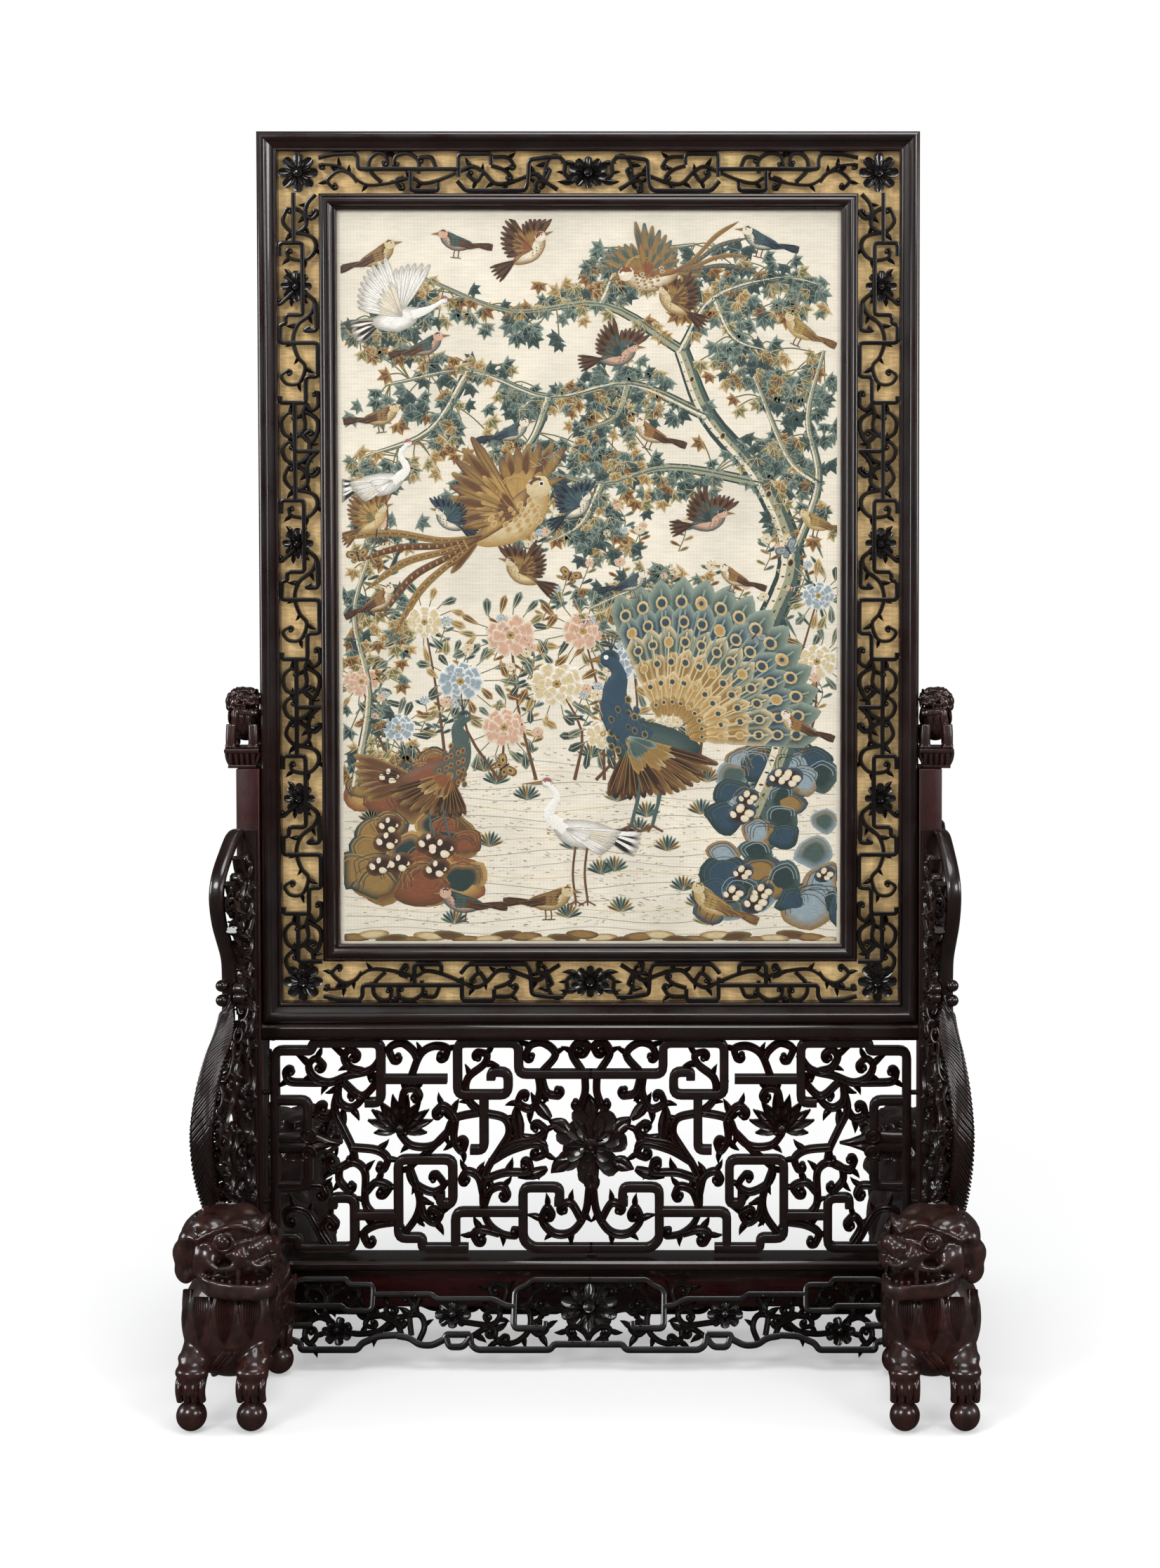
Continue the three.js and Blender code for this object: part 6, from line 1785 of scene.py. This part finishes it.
        near = self.placed(*neck[-1], size * 0.42, way)
        self.head(near, size * 0.42, 0.02, 0.02, white, (PINK, RUST), 0.5)
        if flying:
            self.fan(at, (0.08, 0.02), 98, 160, 0.80, 10, size * 0.09, (white,), 0.9, 0.3, GREY)
            self.fan(at, (0.08, 0.02), 100, 160, 0.46, 8, size * 0.08, ((CREAM, GREY),), 1.15, 0.3)
        else:
            self.fan(at, (0.18, 0.04), 184, 216, 0.56, 9, size * 0.07, (white, (CREAM, GREY)), 1.1, 0.2, GREY)
            self.fan(at, (0.18, 0.04), 186, 220, 0.30, 7, size * 0.07, (white,), 1.35, 0.2)

    def rock(self, x, y, wide, tall, tints, seed):
        """A garden rock: overlapping worn lobes, shaded to their edges, with cavities that show pale pebbles."""
        chance = random.Random(seed)
        lobes = sorted(((chance.uniform(-0.5, 0.5), chance.uniform(0, 1) ** 1.4) for _ in range(46)),
                       key=lambda lobe: -lobe[1])
        for k, (across, up) in enumerate(lobes):
            px, py = x + across * wide * (1 - 0.45 * up), y + up * tall
            size = wide * chance.uniform(0.10, 0.17) * (1.1 - 0.3 * up)
            outline = [Vector((px + math.cos(a) * size * 1.25 * chance.uniform(0.72, 1.12),
                               py + math.sin(a) * size * chance.uniform(0.72, 1.12)))
                       for a in [2 * math.pi * i / 9 for i in range(9)]]
            tint = (tints[k % len(tints)], tints[(k + 1) % len(tints)])
            self.patch(outline, tint, chance.uniform(-0.3, 0.3), 0.3 + 0.01 * k, smooth=2)
            for share in (0.82, 0.62):
                arc = [Vector((px, py)) + (p - Vector((px, py))) * share for p in outline[:6]]
                self.line(arc, 1.6, tints[(k + 2) % len(tints)], 0.5 + 0.012 * k, 2)
        for k in range(9):
            across, up = chance.uniform(-0.42, 0.42), chance.uniform(0.05, 0.9)
            px, py = x + across * wide * (1 - 0.45 * up), y + up * tall
            size = wide * chance.uniform(0.07, 0.11)
            self.patch(spot(px, py, size * 2.3, size * 1.6, 0.4, 11), (DARK_BROWN, tints[0]), 0.4, 1.05)
            for i in range(4):
                dx, dy = math.cos(i * 1.7) * size * 0.55, math.sin(i * 1.7) * size * 0.36
                self.patch(spot(px + dx, py + dy, size * 0.74, size * 0.6, i, 8), (CREAM, STRAW), 0.4, 1.25)


class SCREEN_OT_embroidery(bpy.types.Operator):
    """The embroidery: a flowering garden with birds, in raised satin stitch"""

    bl_idname = "screen.embroidery"
    bl_label = "Embroidery"

    ON_SILK = 0.00026       # from the front of the board to the foot of the stitches
    # Everything is drawn in millimetres from the middle of the silk and up from the sight's lower edge.
    TRUNK = [(246, 190), (296, 320), (262, 450), (304, 580), (262, 700), (180, 800), (140, 900)]
    BRANCHES = [[(304, 580), (346, 700), (330, 800), (354, 900)], [(262, 700), (120, 724), (20, 700), (-70, 720)],
                [(180, 800), (60, 850), (-60, 830), (-180, 870), (-300, 850)], [(140, 900), (20, 970), (-120, 960),
                                                                               (-250, 1010)],
                [(140, 900), (190, 980), (290, 1010), (350, 1000)], [(262, 450), (180, 520), (80, 540), (0, 510)],
                [(20, 970), (60, 1040), (160, 1060)], [(-180, 870), (-240, 780), (-340, 740)],
                [(346, 700), (300, 740), (250, 860)], [(-60, 830), (-90, 760), (-160, 690)],
                [(-250, 1010), (-300, 960), (-350, 940)], [(20, 700), (-10, 640), (-60, 610)],
                [(190, 980), (220, 920), (270, 900)],
                [(-356, 240), (-334, 380), (-356, 500), (-330, 600)], [(60, 850), (40, 800), (-10, 780)]]
    # Each small bird: its place, size, the way that it faces, its tilt, and 1 where it flies.
    BIRDS = [(-322, 1040, 62, 1, 0.3, 0), (-196, 1062, 56, -1, 0.1, 0), (-92, 1046, 66, 1, 0.5, 1),
             (262, 1064, 60, -1, 0.2, 0), (322, 930, 60, -1, 0.4, 0), (-318, 800, 58, 1, 0.1, 0),
             (40, 890, 62, 1, 0.1, 1), (96, 774, 58, -1, 0.3, 0), (-120, 776, 56, 1, 0.2, 0),
             (-330, 640, 58, 1, 0.5, 1), (-100, 560, 60, -1, 0.4, 1), (176, 640, 60, 1, 0.1, 1),
             (-322, 520, 58, 1, 0.4, 0), (-20, 660, 54, 1, 0.5, 1), (346, 640, 54, -1, 0.2, 0),
             (-66, 66, 72, 1, 0.0, 0), (-190, 62, 70, -1, 0.05, 0), (318, 330, 60, -1, 0.3, 0),
             (60, 548, 54, 1, 0.2, 0), (190, 60, 76, -1, 0.35, 0), (130, 968, 60, -1, 0.5, 1),
             (-250, 905, 58, 1, 0.2, 0), (222, 556, 52, -1, 0.3, 0), (-210, 640, 50, -1, 0.4, 1)]
    # Each large flower: its place, size, and which of PETALS it has.
    FLOWERS = [(-120, 470, 78, 0), (-50, 396, 84, 1), (-196, 400, 72, 2), (-10, 476, 66, 0), (66, 430, 64, 2),
               (-250, 490, 60, 1), (-130, 330, 70, 0), (344, 430, 64, 1), (180, 400, 58, 0), (346, 530, 52, 2),
               (-346, 400, 56, 0), (20, 320, 56, 1), (-290, 330, 52, 2), (120, 350, 50, 1)]
    # A small bird's colours: cap, back, belly, wing and flight feathers.
    DRESS = [(BROWN, OCHRE, STRAW, BROWN, DARK_BROWN), (DARK_TEAL, TEAL, SALMON, BROWN, DARK_BROWN),
             (RUST, OCHRE, CREAM, BROWN, DARK_BROWN), (BLUE, TEAL, CREAM, BLUE, INK),
             (OLIVE, GOLD, STRAW, OCHRE, BROWN)]
    PETALS = [(SALMON, CREAM), (STRAW, WHITE), (PALE_BLUE, WHITE)]
    # Leaves, as the colours of their middle and edge: four green ones, and three that turn.
    FOLIAGE = [(DARK_TEAL, PALE_TEAL), (TEAL, PALE_TEAL), (DARK_TEAL, TEAL), (TEAL, SAGE), (OLIVE, STRAW),
               (BROWN, GOLD), (OCHRE, STRAW)]

    def limb(self, work, path, wide, narrow):
        """A limb in four shades with bark marks."""
        def width(share):
            return lambda t: (wide + (narrow - wide) * t) * share

        def moved(share):
            return [(x + share * (wide + (narrow - wide) * i / len(path)), y) for i, (x, y) in enumerate(path)]

        work.line(path, width(1.0), DARK_TEAL, 0.35, 5)
        work.line(path, width(0.86), SAGE, 0.5, 5)
        work.line(moved(-0.22), width(0.30), CREAM, 0.6, 5)
        work.line(moved(0.26), width(0.26), TEAL, 0.6, 5)
        points = curve_through(path, 7)
        for i, point in enumerate(points[:-1]):
            size = (wide + (narrow - wide) * i / len(points))
            for k in (-1, 0, 1):
                work.patch(spot(point.x + k * size * 0.24, point.y + 3 * k, size * 0.16, size * 0.07, 0.9 + k, 7),
                           (DARK_TEAL, OLIVE), 0.4, 0.75)
            if wide > 30 and i % 6 == 3:
                work.patch(spot(*point, size * 0.42, size * 0.3, 1.2, 10), (DARK_BROWN, STRAW), 0.3, 0.85)

    def tree(self, work, chance):
        """An old tree at the right whose branches fill the top of the panel."""
        for branch in self.BRANCHES:
            self.limb(work, branch, 17, 5)
        self.limb(work, self.TRUNK, 54, 24)
        for branch in self.BRANCHES:
            points = curve_through(branch, 4)
            for number, point in enumerate(points[2:]):
                px = min(318, max(-318, point.x + chance.uniform(-34, 34)))
                py = min(1040, point.y + chance.uniform(-44, 36))
                mostly = 0 if (number + int(point.y / 60)) % 3 else 4
                for k in range(10):
                    x, y = px + chance.uniform(-50, 50), py + chance.uniform(-22, 22)
                    if k % 3 == 0:
                        work.line([point, ((point.x + x) / 2, (point.y + y) / 2 + 5), (x, y)], 2.0, OLIVE, 0.35)
                    tint = self.FOLIAGE[mostly + chance.randrange(3)] if k % 4 else self.FOLIAGE[chance.randrange(7)]
                    work.maple(x, y, chance.uniform(18, 25), chance.uniform(-2.9, -0.3), tint)

    def flowering_bush(self, work, chance):
        """Peonies on branching stems, with their leaves, across the middle."""
        for x, y, size, kind in self.FLOWERS:
            root = (x * 0.82 + chance.uniform(-30, 30), 250)
            middle = ((root[0] + x) / 2 + chance.uniform(-26, 26), (root[1] + y) / 2)
            work.line([root, middle, (x, y)], lambda t: 5.5 - 3 * t, BROWN, 0.4)
            for k in range(15):
                angle = 2 * math.pi * k / 15 + x
                reach = size * chance.uniform(0.42, 0.92)
                start = Vector((x + math.cos(angle) * reach, y + math.sin(angle) * reach * 0.8))
                turned = angle + chance.uniform(-0.9, 0.9)
                tip = start + Vector((math.cos(turned), math.sin(turned))) * chance.uniform(18, 28)
                work.line([(x, y), start], 1.5, OLIVE, 0.3)
                work.feather(start, tip, chance.uniform(10, 14), self.FOLIAGE[chance.randrange(7)], 0.4, STRAW)
            work.blossom(x, y, size, self.PETALS[kind], GOLD)
        for k in range(74):
            x, y = chance.uniform(-350, 350), chance.uniform(270, 620)
            kind = chance.randrange(3)
            stem = [(x, y), (x + 10, y + 24), (x + chance.uniform(-6, 26), y + 48)]
            work.line(stem, 1.6, OLIVE, 0.3)
            for i in range(6):
                angle = 0.4 + (2.3 if i % 2 else 0)
                start = curve_through(stem, 3)[i]
                work.feather(start, start + Vector((math.cos(angle), math.sin(angle))) * 17, 6,
                             self.FOLIAGE[(k + i) % 7], 0.35)
            work.blossom(stem[-1][0], stem[-1][1], chance.uniform(14, 22), self.PETALS[kind], GOLD)

    def ground(self, work, chance):
        """Fine ripples and stipple, small plants and a bank along the lower edge."""
        for k in range(1500):
            x, y = chance.uniform(-366, 366), chance.uniform(26, 300)
            work.patch(spot(x, y, chance.uniform(4, 9), 1.2, 0.25 * math.sin(x / 40 + y / 23), 6),
                       (GREY, SAGE, STRAW, OCHRE)[k % 4], 0, 0.25)
        for row in range(16):
            path = [(-372 + 62 * i, 20 + row * 17 + 6 * math.sin(i * 1.3 + row)) for i in range(13)]
            work.line(path, 1.1, (GREY, SAGE, STRAW)[row % 3], 0.22)
        for k in range(26):
            x = -360 + 29 * k
            work.patch(spot(x, 9 + 5 * math.sin(k * 1.7), 52, 14, 0.1 * math.sin(k), 12),
                       ((OCHRE, BROWN), (STRAW, OCHRE), (BROWN, OLIVE))[k % 3], 0.1, 0.35)
        for k in range(44):
            x, y = chance.uniform(-350, 350), chance.uniform(26, 290)
            for blade in range(9):
                angle = 0.35 + 0.3 * blade
                tip = (x + math.cos(angle) * 22, y + math.sin(angle) * 24)
                work.feather((x, y), tip, 4.6, self.FOLIAGE[(k + blade) % 6], 0.35)
        for side in (-1, 1):
            for k in range(26):
                x, y = side * chance.uniform(300, 360), chance.uniform(280, 600)
                angle = math.pi / 2 + side * chance.uniform(0.2, 1.2)
                tip = (x - side * 4 + math.cos(angle) * 26, y + math.sin(angle) * 34)
                work.feather((x, y), tip, 5.5, self.FOLIAGE[k % 4], 0.35)

    def execute(self, context):
        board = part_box("embroidered_silk_panel")[0].y
        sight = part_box("inner_frame_bottom")[1].z
        place = upright_place(0, board - self.ON_SILK, sight) @ Matrix.Scale(MM, 4)
        relief = context.scene.screen_silk.relief * 1000
        chance = random.Random(11)
        tree, garden, bush, birds = (Needlework(place, relief, base) for base in (0.0, 0.0, 0.0, 0.45))
        self.ground(garden, chance)
        self.flowering_bush(bush, chance)
        garden.rock(-280, 90, 220, 190, (BROWN, OCHRE, DARK_TEAL, GOLD, RUST), 3)
        garden.rock(285, 50, 210, 250, (BLUE, DARK_TEAL, TEAL, PALE_BLUE, OCHRE), 5)
        self.tree(tree, chance)
        birds.great_bird(92, 300, 230, -1, (TEAL, PALE_TEAL, DARK_TEAL, BLUE, OCHRE), (68, 182), 1.12, 6, 14)
        birds.great_bird(-235, 250, 165, 1, (RUST, OCHRE, BROWN, TEAL, BROWN), (160, 200), 0.66, 0, 0)
        birds.long_tailed(-122, 640, 146, 1, 0.45, (BROWN, GOLD, STRAW, OCHRE, BROWN), 5)
        birds.long_tailed(100, 1010, 92, -1, -0.3, (RUST, OCHRE, CREAM, TEAL, OCHRE), 4)
        birds.wader(-318, 700, 120, 1)
        birds.wader(-10, 170, 150, -1)
        birds.wader(-290, 948, 120, 1, True)
        for i, (x, y, size, angle) in enumerate(((-130, 270, 30, 0.6), (300, 600, 28, 2.2), (-30, 560, 26, 1.2),
                                                 (250, 470, 28, 0.9), (-350, 590, 26, 1.8))):
            birds.moth(x, y, size, angle, ((GOLD, BROWN, BLUE), (PALE_BLUE, BLUE, GOLD))[i % 2])
        for i, (x, y, size, way, tilt, flying) in enumerate(self.BIRDS):
            birds.bird(x, y, size, way, tilt, self.DRESS[i % 5], bool(flying))
        for work, name in ((tree, "embroidered_tree"), (garden, "embroidered_garden"), (bush, "embroidered_flowers"),
                           (birds, "embroidered_birds")):
            done(work.make(name, stitched=True), name, "stitches", "screen", smooth=60)
        return {"FINISHED"}


class SCREEN_OT_stage(bpy.types.Operator):
    """The camera, the studio floor and the lights"""

    bl_idname = "screen.stage"
    bl_label = "Camera, floor and lights"

    PLACE = (0.2375, -4.0, 1.46)
    TILT = 2.2                  # degrees downwards
    LENS = 60.8                 # millimetres, before a sensor 36 wide
    SHIFT = (-0.1063, -0.1835)
    # name, place, size, power in watts
    LIGHTS = [("key_light", (-2.4, -3.6, 3.2), 1.5, 78), ("fill_light", (2.8, -3.4, 2.6), 1.5, 52),
              ("top_light", (0.3, -0.9, 4.4), 2.2, 62), ("left_light", (-3.2, -0.4, 1.3), 1.2, 26),
              ("right_light", (3.4, -0.4, 1.5), 1.2, 26)]

    def execute(self, context):
        scene = context.scene
        scene.view_settings.view_transform = "Standard"
        camera = bpy.data.objects.new("camera", bpy.data.cameras.new("camera"))
        scene.collection.objects.link(camera)
        scene.camera = camera
        camera.location = self.PLACE
        camera.rotation_euler = (math.radians(90 - self.TILT), 0, 0)
        camera.data.sensor_width = 36
        camera.data.lens = self.LENS
        camera.data.shift_x, camera.data.shift_y = self.SHIFT
        clear_selection()
        bpy.ops.mesh.primitive_plane_add(size=40, location=(0, 0, -0.0005))
        floor = context.object
        floor.name = "studio_floor"
        floor.data.materials.append(material_of("floor"))
        for name, place, size, power in self.LIGHTS:
            lamp = bpy.data.lights.new(name, "AREA")
            lamp.shape = "DISK"
            lamp.size = size
            lamp.energy = power
            light = bpy.data.objects.new(name, lamp)
            scene.collection.objects.link(light)
            light.location = place
            light.rotation_euler = (Vector((0, 0, 0.9)) - light.location).to_track_quat("-Z", "Y").to_euler()
        self.white_world(scene)
        return {"FINISHED"}

    def white_world(self, scene):
        """A soft pale sky that the camera sees as white."""
        world = bpy.data.worlds.new("studio")
        world.use_nodes = True
        scene.world = world
        tree = world.node_tree
        tree.nodes.clear()
        path = add_node(tree, "ShaderNodeLightPath")
        light = add_node(tree, "ShaderNodeBackground", Color=linear("#f4f5f7"), Strength=0.75)
        seen = add_node(tree, "ShaderNodeBackground", Color=(1, 1, 1, 1), Strength=1.0)
        mirrored = add_node(tree, "ShaderNodeBackground", Color=linear("#f4f5f7"), Strength=0.07)
        dimmed = add_node(tree, "ShaderNodeMixShader", {
            0: path.outputs["Is Glossy Ray"], 1: light.outputs[0], 2: mirrored.outputs[0]})
        both = add_node(tree, "ShaderNodeMixShader", {
            0: path.outputs["Is Camera Ray"], 1: dimmed.outputs[0], 2: seen.outputs[0]})
        add_node(tree, "ShaderNodeOutputWorld", {"Surface": both.outputs[0]})


PIECES = (SCREEN_OT_frames, SCREEN_OT_frets, SCREEN_OT_silks, SCREEN_OT_posts, SCREEN_OT_panel, SCREEN_OT_aprons,
          SCREEN_OT_spandrels, SCREEN_OT_feet, SCREEN_OT_finials, SCREEN_OT_embroidery, SCREEN_OT_stage)


class SCREEN_PT_panel(bpy.types.Panel):
    """Settings and the list of pieces"""

    bl_idname = "SCREEN_PT_panel"
    bl_label = "Pierced screen"
    bl_space_type = "VIEW_3D"
    bl_region_type = "UI"
    bl_category = "Screen"

    def draw(self, context):
        scene = context.scene
        for settings in (scene.screen_wood, scene.screen_silk, scene.screen_carving):
            box = self.layout.box()
            for name in settings.__annotations__:
                box.prop(settings, name)
        for piece in PIECES:
            self.layout.operator(piece.bl_idname)


SETTINGS = {"screen_wood": WoodSettings, "screen_silk": SilkSettings, "screen_carving": CarvingSettings}


def register():
    for name, kind in SETTINGS.items():
        bpy.utils.register_class(kind)
        setattr(bpy.types.Scene, name, bpy.props.PointerProperty(type=kind))
    for kind in (*PIECES, SCREEN_PT_panel):
        bpy.utils.register_class(kind)


def unregister():
    for kind in reversed((*PIECES, SCREEN_PT_panel)):
        bpy.utils.unregister_class(kind)
    for name, kind in SETTINGS.items():
        delattr(bpy.types.Scene, name)
        bpy.utils.unregister_class(kind)


def main():
    register()
    bpy.ops.screen.frames()
    bpy.ops.screen.frets()
    bpy.ops.screen.silks()
    bpy.ops.screen.embroidery()
    bpy.ops.screen.posts()
    bpy.ops.screen.panel()
    bpy.ops.screen.aprons()
    bpy.ops.screen.spandrels()
    bpy.ops.screen.feet()
    bpy.ops.screen.finials()
    bpy.ops.screen.stage()


if __name__ == "__main__":
    main()
